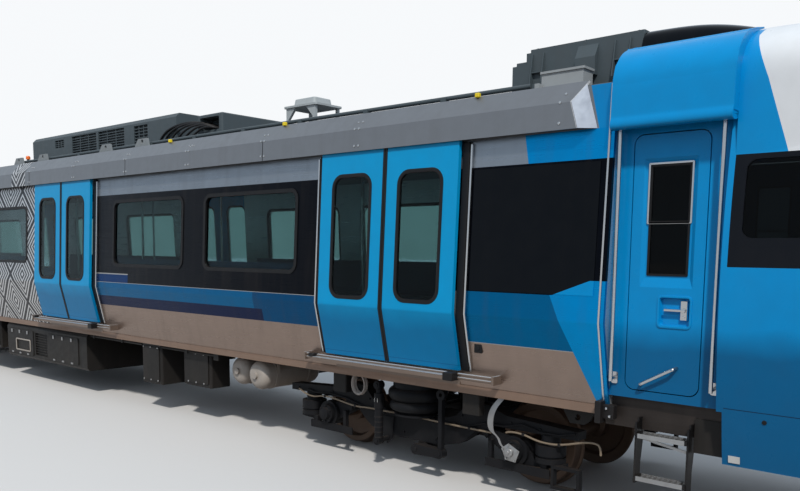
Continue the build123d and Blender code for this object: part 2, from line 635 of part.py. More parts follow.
with BuildPart() as roof_unit_rear:
    start, end, half, top = REAR_UNIT
    with BuildSketch(Plane.YZ.offset(start)):
        with BuildLine():
            Polyline((-half, ROOF_UNIT_BASE), (-half, top - CASE_BEVEL), (-half + CASE_BEVEL, top),
                     (half - CASE_BEVEL, top), (half, top - CASE_BEVEL), (half, ROOF_UNIT_BASE), close=True)
        make_face()
    extrude(amount=end - start)
    with BuildSketch(Plane.XY.offset(top - 60)):
        with Locations(*[(x, 0) for x in FANS]):
            Circle(FAN_RADIUS)
            Circle(FAN_RADIUS * 0.3, mode=Mode.SUBTRACT)
    extrude(amount=60, mode=Mode.SUBTRACT)
    with BuildSketch(Plane.XY.offset(top - 20)):
        for fan_x in FANS:
            with Locations((fan_x, 0)):
                Rectangle(2 * FAN_RADIUS, 16)
                Rectangle(16, 2 * FAN_RADIUS)
                Circle(FAN_RADIUS * 0.7 + 8)
                Circle(FAN_RADIUS * 0.7 - 8, mode=Mode.SUBTRACT)
                Rectangle(2 * FAN_RADIUS, 16)
                Rectangle(16, 2 * FAN_RADIUS)
    extrude(amount=12)
    for side in (-1, 1):
        face = Plane.XZ.offset(-side * (half - GRILLE_DEPTH) if side > 0 else half)
        for rear_x, front_x, low_z, high_z, slats in GRILLES:
            with BuildSketch(face):
                with Locations(((rear_x + front_x) / 2, (low_z + high_z) / 2)):
                    Rectangle(front_x - rear_x, high_z - low_z)
            extrude(amount=-GRILLE_DEPTH, mode=Mode.SUBTRACT)
            gap = (high_z - low_z) / (slats + 1)
            with BuildSketch(face.offset(-8)):
                with Locations(*[((rear_x + front_x) / 2, low_z + gap * (i + 1)) for i in range(slats)]):
                    Rectangle(front_x - rear_x, SLAT[0])
                with Locations(*[(rear_x + (front_x - rear_x) * k, (low_z + high_z) / 2) for k in (0.33, 0.67)]):
                    Rectangle(SLAT[0], high_z - low_z)
            extrude(amount=-SLAT[1])
    add(roof_envelope.part, mode=Mode.SUBTRACT)
save("roof_unit_rear", roof_unit_rear.part)

# Junction box behind it: an open pocket on each side takes the cable loops
ROOF_BOX = (1970.0, 2492.0, 920.0, RAIL + 3827.0)
POCKET = (2030.0, 2430.0, RAIL + 3630.0, RAIL + 3790.0)
POCKET_DEPTH = 200.0
LOOP_RADIUS = 17.0
LOOPS = [
    # height at the case, height at the box, y of the hose
    (RAIL + 3600.0, RAIL + 3660.0, 740.0),
    (RAIL + 3650.0, RAIL + 3700.0, 790.0),
    (RAIL + 3700.0, RAIL + 3740.0, 840.0),
]

with BuildPart() as roof_box:
    start, end, half, top = ROOF_BOX
    with BuildSketch(Plane.XY.offset(ROOF_UNIT_BASE)):
        with Locations(((start + end) / 2, 0)):
            RectangleRounded(end - start, 2 * half, 25)
    extrude(amount=top - ROOF_UNIT_BASE)
    chamfer(roof_box.faces().sort_by(Axis.Z)[-1].edges(), 12)
    for side in (-1, 1):
        with BuildSketch(Plane.XZ.offset(half if side < 0 else -half + POCKET_DEPTH)):
            with Locations(((POCKET[0] + POCKET[1]) / 2, (POCKET[2] + POCKET[3]) / 2)):
                RectangleRounded(POCKET[1] - POCKET[0], POCKET[3] - POCKET[2], 20)
        extrude(amount=-POCKET_DEPTH, mode=Mode.SUBTRACT)
    add(roof_envelope.part, mode=Mode.SUBTRACT)
save("roof_box", roof_box.part)

# Front air-conditioning unit: case with an overhanging lid, side hatch, gussets and a low junction step
FRONT_UNIT = (6810.0, 7880.0, 870.0, RAIL + 3870.0)
FRONT_STEP = (6668.0, 6810.0, 870.0, RAIL + 3775.0)
HATCH = (7311.0, 7494.0)
HATCH_PROUD = 55.0
GUSSETS = [(6870.0, 6990.0), (7640.0, 7780.0)]
GUSSET_FOOT = 60.0
GUSSET_WEB = 10.0

with BuildPart() as roof_unit_front:
    for start, end, half, top in (FRONT_UNIT, FRONT_STEP):
        with BuildSketch(Plane.XY.offset(ROOF_UNIT_BASE)):
            with Locations(((start + end) / 2, 0)):
                Rectangle(end - start, 2 * half)
        extrude(amount=top - ROOF_UNIT_BASE)
        with BuildSketch(Plane.XY.offset(top)):
            with Locations(((start + 30 + end) / 2, 0)):
                RectangleRounded(end - start - 30, 2 * half - 20, 12)
        extrude(amount=LID)
    half = FRONT_UNIT[2]
    for side in (-1, 1):
        with BuildSketch(Plane.YZ.offset(HATCH[0])):
            with BuildLine():
                Polyline((side * (half - 5), RAIL + 3600), (side * (half + HATCH_PROUD), RAIL + 3600),
                         (side * (half + HATCH_PROUD), RAIL + 3745), (side * (half - 5), RAIL + 3862), close=True)
            make_face()
        extrude(amount=HATCH[1] - HATCH[0])
        for rear_x, front_x in GUSSETS:
            for web_x in (rear_x, front_x - GUSSET_WEB):
                with BuildSketch(Plane.YZ.offset(web_x)):
                    with BuildLine():
                        Polyline((side * (half - 5), RAIL + 3560), (side * (half + GUSSET_FOOT), RAIL + 3560),
                                 (side * (half + 12), RAIL + 3850), (side * (half - 5), RAIL + 3850), close=True)
                    make_face()
                extrude(amount=GUSSET_WEB)
            with BuildSketch(Plane.XY.offset(RAIL + 3690)):
                with Locations(((rear_x + front_x) / 2, side * (half + 12))):
                    Rectangle(front_x - rear_x, 36)
            extrude(amount=10)
    add(roof_envelope.part, mode=Mode.SUBTRACT)
save("roof_unit_front", roof_unit_front.part)

# Black fairing that carries the line of the cab roof back to the front unit
FAIRING_REAR = 7888.0
FAIRING_CREST = RAIL + 3955.0
FAIRING_FRONT = 8990.0
FAIRING_SECTION = [
    # half width, height above the rail, from the foot to the crown
    (935.0, 3560.0), (920.0, 3780.0), (800.0, 3945.0)]

with BuildPart() as cab_roof_fairing:
    with BuildSketch(Plane.XZ):
        with BuildLine():
            Polyline((FAIRING_FRONT, RAIL + 3560), (FAIRING_REAR, RAIL + 3560), (FAIRING_REAR, FAIRING_CREST),
                     (8050, FAIRING_CREST))
            TangentArc((8050, FAIRING_CREST), (FAIRING_FRONT, RAIL + 3650), tangent=(1, 0))
            Line((FAIRING_FRONT, RAIL + 3650), (FAIRING_FRONT, RAIL + 3560))
        make_face()
    extrude(amount=FAIRING_SECTION[0][0], both=True)
    with BuildSketch(Plane.YZ.offset(FAIRING_REAR)):
        with BuildLine():
            foot, knee, brow = [(y, RAIL + h) for y, h in FAIRING_SECTION]
            flank = Line(foot, knee)
            TangentArc(knee, brow, tangent=flank % 1)
            ThreePointArc(brow, (0, FAIRING_CREST + 5), (-brow[0], brow[1]))
            TangentArc((-knee[0], knee[1]), (-brow[0], brow[1]), tangent=(0.07, 1))
            Polyline((-knee[0], knee[1]), (-foot[0], foot[1]), foot)
        make_face()
    extrude(amount=FAIRING_FRONT - FAIRING_REAR, mode=Mode.INTERSECT)
    add(cab_outer, mode=Mode.SUBTRACT)
    add(cab_portal.part, mode=Mode.SUBTRACT)
    add(roof_envelope.part, mode=Mode.SUBTRACT)
save("cab_roof_fairing", cab_roof_fairing.part)

# Antenna on its stand
ANTENNA = (3670.0, -500.0)
STAND_SIZE = (560.0, 420.0)
STAND_TOP = RAIL + 3790.0
LEG = 34.0

with BuildPart() as antenna_stand:
    with BuildSketch(Plane.XY.offset(ROOF_UNIT_BASE)):
        with Locations(*[(ANTENNA[0] + dx, ANTENNA[1] + dy) for dx in (-230, 230) for dy in (-175, 175)]):
            Rectangle(LEG, LEG)
    extrude(amount=STAND_TOP - ROOF_UNIT_BASE)
    with BuildSketch(Plane.XZ.offset(-ANTENNA[1] + 175 - LEG / 2)):
        for direction in (-1, 1):
            with BuildLine():
                Polyline((ANTENNA[0] + direction * 230, STAND_TOP), (ANTENNA[0] + direction * 90, STAND_TOP),
                         (ANTENNA[0] + direction * 230, STAND_TOP - 150), close=True)
            make_face()
    extrude(amount=LEG)
    with BuildSketch(Plane.XY.offset(STAND_TOP)):
        with Locations(ANTENNA):
            RectangleRounded(*STAND_SIZE, 30)
    extrude(amount=22)
    with BuildSketch(Plane.XY.offset(STAND_TOP + 22)):
        with Locations(ANTENNA):
            RectangleRounded(380, 300, 50)
    extrude(amount=84, taper=12)
    fillet(antenna_stand.faces().sort_by(Axis.Z)[-1].edges(), 14)
    add(roof_envelope.part, mode=Mode.SUBTRACT)
save("antenna_stand", antenna_stand.part)

# Cable duct along both roof edges on saddles, with the lifting brackets and the metal box beside the front unit
DUCT_Y = 1165.0
DUCT_Z = RAIL + 3520.0
DUCT_RADIUS = 20.0
DUCT_SPAN = (-2600.0, 7050.0)
SADDLE_PITCH = 965.0
LIFT_BRACKETS = [-2540.0, -1700.0, 210.0, 1150.0]
EDGE_BOX = (7132.0, 7512.0, 985.0, 1140.0, RAIL + 3606.0)

with BuildPart() as roof_duct:
    for side in (-1, 1):
        with BuildSketch(Plane.YZ.offset(DUCT_SPAN[0])):
            with Locations((side * DUCT_Y, DUCT_Z)):
                Circle(DUCT_RADIUS)
        extrude(amount=DUCT_SPAN[1] - DUCT_SPAN[0])
        saddles = int((DUCT_SPAN[1] - DUCT_SPAN[0]) // SADDLE_PITCH) + 1
        with BuildSketch(Plane.XY.offset(CANTRAIL_TOP)):
            with Locations(*[(DUCT_SPAN[0] + 60 + SADDLE_PITCH * i, side * DUCT_Y) for i in range(saddles)]):
                Rectangle(60, 56)
        extrude(amount=DUCT_Z - CANTRAIL_TOP + 8)
        for bracket_x in LIFT_BRACKETS:
            with BuildSketch(Plane.XZ.offset(1235 if side < 0 else -1205)):
                with BuildLine():
                    Polyline((bracket_x - 170, CANTRAIL_TOP + 30), (bracket_x - 60, RAIL + 3580),
                             (bracket_x + 150, RAIL + 3580), (bracket_x + 190, CANTRAIL_TOP + 30), close=True)
                make_face()
                with Locations((bracket_x + 40, RAIL + 3540)):
                    Circle(26, mode=Mode.SUBTRACT)
            extrude(amount=-30)
            with BuildSketch(Plane.XY.offset(CANTRAIL_TOP)):
                with Locations((bracket_x, side * 1200)):
                    Rectangle(360, 100)
            extrude(amount=40)
        rear_x, front_x, inner_y, outer_y, top = EDGE_BOX
        with BuildSketch(Plane.XY.offset(CANTRAIL_TOP)):
            with Locations(((rear_x + front_x) / 2, side * (inner_y + outer_y) / 2)):
                Rectangle(front_x - rear_x, outer_y - inner_y)
        extrude(amount=top - CANTRAIL_TOP)
        with BuildSketch(Plane.XY.offset(top)):
            with Locations(((rear_x + front_x) / 2, side * (inner_y + outer_y) / 2)):
                RectangleRounded(front_x - rear_x + 24, outer_y - inner_y + 24, 8)
        extrude(amount=18)
    add(roof_envelope.part, mode=Mode.SUBTRACT)
save("roof_duct", roof_duct.part)

# Saloon benches: a seat shell on a plinth along both walls, dished into single places
BENCH_DEPTH = 520.0
SEAT_Z = FLOOR + 440.0
BACK_TOP = FLOOR + 900.0
PLACE_WIDTH = 460.0
BENCH_SPANS = [(DOOR_X[0] - 3195.0, 9), (DOOR_X[1] - 3195.0, 9), (BODY_REAR + 1500.0, 4)]

with BuildPart() as saloon_seats:
    for centre, places in BENCH_SPANS:
        length = places * PLACE_WIDTH
        for side in (-1, 1):
            with BuildSketch(Plane.YZ.offset(centre - length / 2)):
                with BuildLine():
                    Polyline(
                        (side * 1180, SEAT_Z - 200), (side * 1310, SEAT_Z - 20),
                        (side * 1322, SEAT_Z + 120), (side * 1318, BACK_TOP), (side * 1280, BACK_TOP),
                        (side * 1250, SEAT_Z + 70), (side * 1200, SEAT_Z + 15),
                        (side * (1230 - BENCH_DEPTH), SEAT_Z + 20), (side * (1210 - BENCH_DEPTH), SEAT_Z - 20),
                        (side * 960, SEAT_Z - 60), (side * 960, FLOOR), (side * 1180, FLOOR), close=True)
                make_face()
            extrude(amount=length)
save("saloon_seats", saloon_seats.part)

# Grab poles from floor to ceiling and a rail under the ceiling along each bench
POLE_RADIUS = 17.0
POLE_Y = 690.0

with BuildPart() as grab_poles:
    with BuildSketch(Plane.XY.offset(FLOOR)):
        with Locations(*[(x + dx, side * POLE_Y) for x in DOOR_X for dx in (-980, 980) for side in (-1, 1)
                         if BODY_REAR < x + dx < BODY_FRONT]):
            Circle(POLE_RADIUS)
    extrude(amount=CEILING - FLOOR)
save("grab_poles", grab_poles.part)

# Driver's desk and seat
with BuildPart() as drivers_place:
    with BuildSketch(Plane.XZ.offset(-700)):
        with BuildLine():
            Polyline((9750, FLOOR), (9700, FLOOR + 700), (9550, FLOOR + 760), (9800, FLOOR + 830),
                     (10080, FLOOR + 900), (10090, FLOOR), close=True)
        make_face()
    extrude(amount=1400)
    with BuildSketch(Plane.XY.offset(FLOOR)):
        with Locations((9150, 0)):
            Circle(120)
    extrude(amount=380)
    with BuildSketch(Plane.XZ.offset(-240)):
        with BuildLine():
            Polyline((8930, FLOOR + 380), (9400, FLOOR + 380), (9400, FLOOR + 470), (9060, FLOOR + 470),
                     (8990, FLOOR + 1150), (8900, FLOOR + 1150), close=True)
        make_face()
    extrude(amount=480)
save("drivers_place", drivers_place.part)

# Underfloor equipment
CONVERTER = (-3190.0, -450.0, 1250.0, RAIL + 330.0)
HANG = SOLE_BOTTOM
CASE_CORNER = 40.0
CASE_DOORS = [
    # rear x and front x of each door on the side of the case
    (-3160.0, -2210.0), (-1670.0, -700.0)]
CASE_DOOR_Z = (RAIL + 395.0, RAIL + 800.0)
DOOR_PROUD = 12.0
CASE_WINDOW = (-2840.0, -2300.0, RAIL + 450.0, RAIL + 650.0)
INTAKE = (-2150.0, -1730.0, RAIL + 420.0, RAIL + 780.0)
INTAKE_SLATS = 8

with BuildPart() as converter_case:
    start, end, half, low = CONVERTER
    with BuildSketch(Plane.YZ.offset(start)):
        with BuildLine():
            Polyline((-half, low + CASE_CORNER), (-half, RAIL + 835), (-half + CASE_CORNER, HANG),
                     (half - CASE_CORNER, HANG), (half, RAIL + 835), (half, low + CASE_CORNER),
                     (half - CASE_CORNER, low), (-half + CASE_CORNER, low), close=True)
        make_face()
    extrude(amount=end - start)
    for side in (-1, 1):
        outward = half if side < 0 else -half - DOOR_PROUD
        with BuildSketch(Plane.XZ.offset(outward)):
            for rear_x, front_x in CASE_DOORS:
                with Locations(((rear_x + front_x) / 2, sum(CASE_DOOR_Z) / 2)):
                    RectangleRounded(front_x - rear_x, CASE_DOOR_Z[1] - CASE_DOOR_Z[0], 25)
            rear_x, front_x, low_z, high_z = CASE_WINDOW
            with Locations(((rear_x + front_x) / 2, (low_z + high_z) / 2)):
                RectangleRounded(front_x - rear_x, high_z - low_z, 30, mode=Mode.SUBTRACT)
        extrude(amount=DOOR_PROUD)
        rear_x, front_x, low_z, high_z = INTAKE
        with BuildSketch(Plane.XZ.offset(half - 30 if side < 0 else -half)):
            with Locations(((rear_x + front_x) / 2, (low_z + high_z) / 2)):
                Rectangle(front_x - rear_x, high_z - low_z)
        extrude(amount=30, mode=Mode.SUBTRACT)
        gap = (high_z - low_z) / (INTAKE_SLATS + 1)
        with BuildSketch(Plane.XZ.offset(half - 30 if side < 0 else -half + 6)):
            with Locations(*[((rear_x + front_x) / 2, low_z + gap * (i + 1)) for i in range(INTAKE_SLATS)]):
                Rectangle(front_x - rear_x, 10)
        extrude(amount=24)
    with BuildSketch(Plane.XY.offset(low)):
        with Locations(*[(start + 260 + 555 * i, 0) for i in range(5)]):
            Rectangle(24, 2 * half - 300)
    extrude(amount=-22)
save("converter_case", converter_case.part)

EQUIPMENT = [
    # x start, x end, y start, y end, underside, corner radius
    (990.0, 1470.0, -1200.0, -650.0, RAIL + 350.0, 30.0),
    (990.0, 1470.0, 650.0, 1200.0, RAIL + 350.0, 30.0),
    (1900.0, 2500.0, -1150.0, -850.0, RAIL + 420.0, 30.0),
    (1900.0, 2500.0, 600.0, 1150.0, RAIL + 420.0, 30.0),
    (100.0, 820.0, -500.0, 500.0, RAIL + 480.0, 20.0),
    (-5300.0, -3600.0, -1200.0, 1200.0, RAIL + 400.0, 30.0),
]
COVER_PROUD = 14.0
COVER_MARGIN = 45.0

with BuildPart() as equipment_boxes:
    for x_start, x_end, y_start, y_end, low, corner in EQUIPMENT:
        with BuildSketch(Plane.XY.offset(low)):
            with Locations(((x_start + x_end) / 2, (y_start + y_end) / 2)):
                RectangleRounded(x_end - x_start, y_end - y_start, corner)
        extrude(amount=HANG - low)
        for cover_y in {y_start, y_end} & {-1200.0, -1150.0, 1150.0, 1200.0}:
            with BuildSketch(Plane.XZ.offset(-cover_y if cover_y < 0 else -cover_y - COVER_PROUD)):
                with Locations(((x_start + x_end) / 2, (low + HANG) / 2)):
                    RectangleRounded(x_end - x_start - 2 * COVER_MARGIN, HANG - low - 2 * COVER_MARGIN, 20)
            extrude(amount=COVER_PROUD)
save("equipment_boxes", equipment_boxes.part)

TANK_RADIUS = 170.0
TANK_LENGTH = 900.0
TANK_Z = RAIL + 695.0
TANKS = [(3420.0, -1180.0), (3420.0, 280.0), (2980.0, -1100.0)]
STRAP_WIDTH = 40.0
STRAP_THICK = 6.0

with BuildPart() as air_tanks:
    for tank_x, tank_y in TANKS:
        with Locations((tank_x, tank_y + TANK_LENGTH / 2, TANK_Z)):
            Cylinder(TANK_RADIUS, TANK_LENGTH, rotation=(90, 0, 0))
    fillet(air_tanks.edges().filter_by(GeomType.CIRCLE), 90)
    for tank_x, tank_y in TANKS:
        for strap_y in (tank_y + 200, tank_y + TANK_LENGTH - 200):
            with Locations((tank_x, strap_y, TANK_Z)):
                Cylinder(TANK_RADIUS + STRAP_THICK, STRAP_WIDTH, rotation=(90, 0, 0))
            with BuildSketch(Plane.XY.offset(TANK_Z)):
                with Locations((tank_x - TANK_RADIUS - 3, strap_y), (tank_x + TANK_RADIUS + 3, strap_y)):
                    Rectangle(STRAP_THICK, STRAP_WIDTH)
            extrude(amount=SOLE_BOTTOM + 12 - TANK_Z)
        with Locations((tank_x, tank_y - 12, TANK_Z)):
            Cylinder(38, 30, rotation=(90, 0, 0))
save("air_tanks", air_tanks.part)

# Fittings under the sole bars: pipes in split clamps, lifting lugs, bump stops over the bogies,
# and the plates that close the cab beams at the side
PIPE_RUNS = [
    # y, height, radius, rear x, front x
    (1185.0, RAIL + 858.0, 17.0, CONVERTER[1], 2700.0),
    (1130.0, RAIL + 862.0, 13.0, CONVERTER[1], 2700.0),
]
VALVE_BLOCK = (100.0, 120.0, RAIL + 805.0)
SIDE_PLATE = (8560.0, 8780.0, 12.0, RAIL + 700.0, RAIL + 955.0)
LUG_Y = 1150.0
LUG_THICK = 30.0
LUG_HOLE = 26.0
LUG_X = [PIVOT_X["front"] + 1885.0, PIVOT_X["rear"] - 1885.0]
BUMP_STOP = (190.0, 95.0, RAIL + 690.0)
BUMP_STOP_Y = 1160.0
BUMP_STOP_X = [pivot + dx for pivot in PIVOT_X.values() for dx in (-860.0, 830.0)]

CLAMP_PITCH = 790.0
CLAMP_LENGTH = 42.0

with BuildPart() as underfloor_fittings:
    for side in (-1, 1):
        for pipe_y, pipe_z, pipe_radius, rear_x, front_x in PIPE_RUNS:
            with BuildSketch(Plane.YZ.offset(rear_x)):
                with Locations((side * pipe_y, pipe_z)):
                    Circle(pipe_radius)
            extrude(amount=front_x - rear_x)
        clamps = int((front_x - rear_x - 200) // CLAMP_PITCH) + 1
        with BuildSketch(Plane.XY.offset(RAIL + 834)):
            with Locations(*[(rear_x + 140 + CLAMP_PITCH * i, side * 1157) for i in range(clamps)]):
                Rectangle(CLAMP_LENGTH, 104)
        extrude(amount=SOLE_BOTTOM - RAIL - 834)
        with BuildSketch(Plane.XY.offset(VALVE_BLOCK[2])):
            with Locations((front_x, side * 1157)):
                Rectangle(VALVE_BLOCK[0], VALVE_BLOCK[1])
        extrude(amount=SOLE_BOTTOM - VALVE_BLOCK[2])
    for x_start, x_end, y_start, y_end, low, corner in EQUIPMENT:
        with BuildSketch(Plane.XY.offset(low)):
            with Locations(((x_start + x_end) / 2, (y_start + y_end) / 2)):
                Rectangle(x_end - x_start, y_end - y_start + 2 * COVER_PROUD)
        extrude(amount=HANG - low, mode=Mode.SUBTRACT)
    for side in (-1, 1):
        with BuildSketch(Plane.XZ.offset(-side * LUG_Y - LUG_THICK / 2)):
            for lug_x in LUG_X:
                with BuildLine():
                    Polyline((lug_x - 150, SOLE_BOTTOM), (lug_x - 70, RAIL + 760), (lug_x + 60, RAIL + 760),
                             (lug_x + 110, RAIL + 800), (lug_x + 150, SOLE_BOTTOM), close=True)
                make_face()
                with Locations((lug_x, RAIL + 815)):
                    Circle(LUG_HOLE, mode=Mode.SUBTRACT)
        extrude(amount=LUG_THICK)
    with BuildSketch(Plane.XY.offset(BUMP_STOP[2])):
        with Locations(*[(x, side * BUMP_STOP_Y) for x in BUMP_STOP_X for side in (-1, 1)]):
            RectangleRounded(BUMP_STOP[0], BUMP_STOP[1], 15)
    extrude(amount=SOLE_BOTTOM - BUMP_STOP[2])
    for side in (-1, 1):
        rear_x, front_x, thick, low, high = SIDE_PLATE
        with BuildSketch(Plane.XY.offset(low)):
            with Locations(((rear_x + front_x) / 2, side * (BEAM_Y + BEAM_WIDTH / 2 + thick / 2))):
                Rectangle(front_x - rear_x, thick)
        extrude(amount=high - low)
save("underfloor_fittings", underfloor_fittings.part)

# Cab access: ladder steps under each cab door, braced to the beam, and the grab rails beside it
STEP_X = (8145.0, 8546.0)
STEP_TREADS = [RAIL + 797.0, RAIL + 465.0]
STEP_FOOT = RAIL + 405.0
STEP_HEAD = RAIL + 880.0
STRINGER = (14.0, 90.0)
TREAD_DEPTH = 110.0
BRACE_Z = (RAIL + 765.0, RAIL + 700.0)

with BuildPart() as cab_steps:
    for side in (-1, 1):
        with BuildSketch(Plane.XY.offset(STEP_FOOT)):
            with Locations(*[(x, side * 1240) for x in STEP_X]):
                Rectangle(*STRINGER)
        extrude(amount=STEP_HEAD - STEP_FOOT)
        with BuildSketch(Plane.XY.offset(RAIL + 810)):
            with Locations(*[(x, side * 1220) for x in STEP_X]):
                Rectangle(STRINGER[0], 60)
        extrude(amount=100)
        for x in STEP_X:
            with BuildSketch(Plane.YZ.offset(x - STRINGER[0] / 2)):
                with BuildLine():
                    Polyline((side * 1200, RAIL + 520), (side * 1200, RAIL + 580), (side * 1185, BEAM_BOTTOM),
                             (side * 1150, BEAM_BOTTOM), close=True)
                make_face()
            extrude(amount=STRINGER[0])
        with BuildSketch(Plane.XZ.offset(1215 if side < 0 else -1225)):
            with BuildLine():
                Polyline((STEP_X[0], BRACE_Z[0]), (STEP_X[0], BRACE_Z[0] - 20), (STEP_X[1], BRACE_Z[1] - 20),
                         (STEP_X[1], BRACE_Z[1]), close=True)
            make_face()
        extrude(amount=10)
        for tread in STEP_TREADS:
            with BuildSketch(Plane.XY.offset(tread - 35)):
                with Locations((sum(STEP_X) / 2, side * 1245)):
                    Rectangle(STEP_X[1] - STEP_X[0], TREAD_DEPTH)
                    Rectangle(STEP_X[1] - STEP_X[0] - 40, TREAD_DEPTH - 16, mode=Mode.SUBTRACT)
                with Locations(*[(STEP_X[0] + 20 + 40.1 * i, side * 1245) for i in range(1, 9)]):
                    Rectangle(14, TREAD_DEPTH)
            extrude(amount=35)
save("cab_steps", cab_steps.part)

RAIL_X = (7942.0, 8705.0)
RAIL_RADIUS = 15.0
RAIL_FOOT = RAIL + 1180.0
RAIL_Y = 1330.0

with BuildPart() as cab_grab_rails:
    for side in (-1, 1):
        for x in RAIL_X:
            with BuildSketch(Plane.XY.offset(RAIL_FOOT)):
                with Locations((x, side * RAIL_Y)):
                    Circle(RAIL_RADIUS)
            extrude(amount=PORTAL_HEAD - RAIL_FOOT)
            with BuildSketch(Plane.XZ.offset(-side * RAIL_Y)):
                with Locations((x, RAIL_FOOT + 20)):
                    Circle(RAIL_RADIUS)
            extrude(amount=side * (RAIL_Y - PORTAL_FACE))
            with BuildSketch(Plane.XZ.offset(-side * PORTAL_FACE)):
                with Locations((x, RAIL_FOOT + 20)):
                    RectangleRounded(50, 90, 12)
            extrude(amount=-side * 14)
save("cab_grab_rails", cab_grab_rails.part)

# Couplers: head with its cone and cup, shank, and the carrier under the frame
COUPLER_Z = RAIL + 780.0
CARRIER_DROP = 150.0

with BuildPart() as front_coupler:
    with BuildSketch(Plane.YZ.offset(9500)):
        with Locations((0, COUPLER_Z)):
            Circle(75)
    extrude(amount=COUPLER_FACE - 9500 - 120)
    with BuildSketch(Plane.YZ.offset(COUPLER_FACE - 760)):
        with Locations((0, COUPLER_Z)):
            Circle(105)
    extrude(amount=230)
    with BuildSketch(Plane.YZ.offset(COUPLER_FACE - 260)):
        with Locations((0, COUPLER_Z)):
            RectangleRounded(330, 290, 40)
    extrude(amount=260)
    with BuildSketch(Plane.YZ.offset(COUPLER_FACE - 60)):
        with Locations((-75, COUPLER_Z)):
            Circle(58)
    extrude(amount=60, mode=Mode.SUBTRACT)
    with BuildSketch(Plane.YZ.offset(COUPLER_FACE - 50)):
        with Locations((80, COUPLER_Z), (0, COUPLER_Z + 115), (0, COUPLER_Z - 115)):
            Circle(26)
    extrude(amount=50, mode=Mode.SUBTRACT)
    with BuildSketch(Plane.YZ.offset(9400)):
        with Locations((0, (COUPLER_Z - CARRIER_DROP + FLOOR_UNDERSIDE) / 2)):
            Rectangle(420, FLOOR_UNDERSIDE - COUPLER_Z + CARRIER_DROP)
    extrude(amount=140)
    with BuildSketch(Plane.XY.offset(COUPLER_Z - CARRIER_DROP)):
        with Locations((9820, 0)):
            Rectangle(500, 300)
    extrude(amount=24)
    with BuildSketch(Plane.XZ.offset(-90)):
        with BuildLine():
            Polyline((9540, COUPLER_Z - CARRIER_DROP), (9540, COUPLER_Z + 190), (10060, COUPLER_Z - CARRIER_DROP + 24),
                     (10060, COUPLER_Z - CARRIER_DROP), close=True)
        make_face()
    extrude(amount=-20)
    mirror(about=Plane.XZ)
save("front_coupler", front_coupler.part)

with BuildPart() as rear_coupler:
    with BuildSketch(Plane.YZ.offset(-COUPLER_FACE)):
        with Locations((0, COUPLER_Z)):
            Circle(110)
    extrude(amount=60)
    with BuildSketch(Plane.YZ.offset(-COUPLER_FACE + 60)):
        with Locations((0, COUPLER_Z)):
            Circle(70)
    extrude(amount=1000)
    with BuildSketch(Plane.YZ.offset(-COUPLER_FACE + 1060)):
        with Locations((0, (COUPLER_Z - CARRIER_DROP + SOLE_BOTTOM + 12) / 2)):
            Rectangle(400, SOLE_BOTTOM + 12 - COUPLER_Z + CARRIER_DROP)
    extrude(amount=140)
save("rear_coupler", rear_coupler.part)


# Wheelsets: axle with two wheels, turned in one profile
WHEEL_WIDTH = 130.0
AXLE_RADIUS = 80.0
JOURNAL_RADIUS = 62.0
JOURNAL_END = 1010.0
FLANGE_THICK = 30.0


def wheel_profile():
    """Points of half an axle with its wheel, from the middle outward, as (y, radius)."""
    back = BACK_TO_BACK / 2
    face = back + WHEEL_WIDTH
    return [
        (0, AXLE_RADIUS), (back - 60, AXLE_RADIUS), (back - 40, 125), (back + 20, 135), (back + 38, 300),
        (back, 322), (back, WHEEL_RADIUS + FLANGE - 12), (back + 12, WHEEL_RADIUS + FLANGE),
        (back + 22, WHEEL_RADIUS + FLANGE - 4), (back + FLANGE_THICK, WHEEL_RADIUS + 4),
        (face - 8, WHEEL_RADIUS - 6), (face, WHEEL_RADIUS - 14), (face, 322), (back + 70, 300),
        (back + 52, 135), (face - 5, 125), (face - 5, AXLE_RADIUS), (760, AXLE_RADIUS),
        (790, JOURNAL_RADIUS), (JOURNAL_END, JOURNAL_RADIUS)]


WHEELSET_X = {
    "front_leading": PIVOT_X["front"] + WHEELBASE / 2,
    "front_trailing": PIVOT_X["front"] - WHEELBASE / 2,
    "rear_leading": PIVOT_X["rear"] + WHEELBASE / 2,
    "rear_trailing": PIVOT_X["rear"] - WHEELBASE / 2,
}

for wheelset_name, axle_x in WHEELSET_X.items():
    with BuildPart() as wheelset:
        with BuildSketch(Plane.YZ.offset(axle_x)):
            with BuildLine():
                half_profile = [(y, AXLE_Z + radius) for y, radius in wheel_profile()]
                other_half = [(-y, z) for y, z in reversed(half_profile[1:])]
                Polyline((-JOURNAL_END, AXLE_Z), *other_half, *half_profile, (JOURNAL_END, AXLE_Z), close=True)
            make_face()
        revolve(axis=Axis((axle_x, 0, AXLE_Z), (0, 1, 0)))
    save(f"wheelset_{wheelset_name}", wheelset.part)

# Bogies: side frames with a dropped middle, joined by two cross tubes
FRAME_Y = 950.0
FRAME_WIDTH = 140.0
FRAME_FACE = FRAME_Y + FRAME_WIDTH / 2
FRAME_HALF_PROFILE = [
    # distance from the pivot, height above the rail, along the top and back along the bottom
    (0, 540), (330, 540), (530, 610), (640, 720), (690, 760), (900, 760), (1100, 690), (1820, 650),
    (1820, 578), (920, 578), (810, 550), (650, 400), (560, 340), (340, 290), (0, 290)]
CROSS_TUBE = (330.0, 80.0, RAIL + 420.0)
TRANSOM_HALF = 250.0
PIVOT_RADIUS = 150.0
PIVOT_TOP = RAIL + 860.0
SPRING_RADIUS = 300.0
SPRING_TOP = RAIL + 880.0
BUSH = (880.0, 500.0, 52.0)
BUSH_PIN = 20.0
LUG_PLATE = 20.0
ARM_HALF = FRAME_WIDTH / 2 - LUG_PLATE
HOUSING_RADIUS = 135.0
HOUSING_HALF = 90.0
POT = (1520.0, 335.0, 490.0, 135.0)
POT_NECK = 85.0

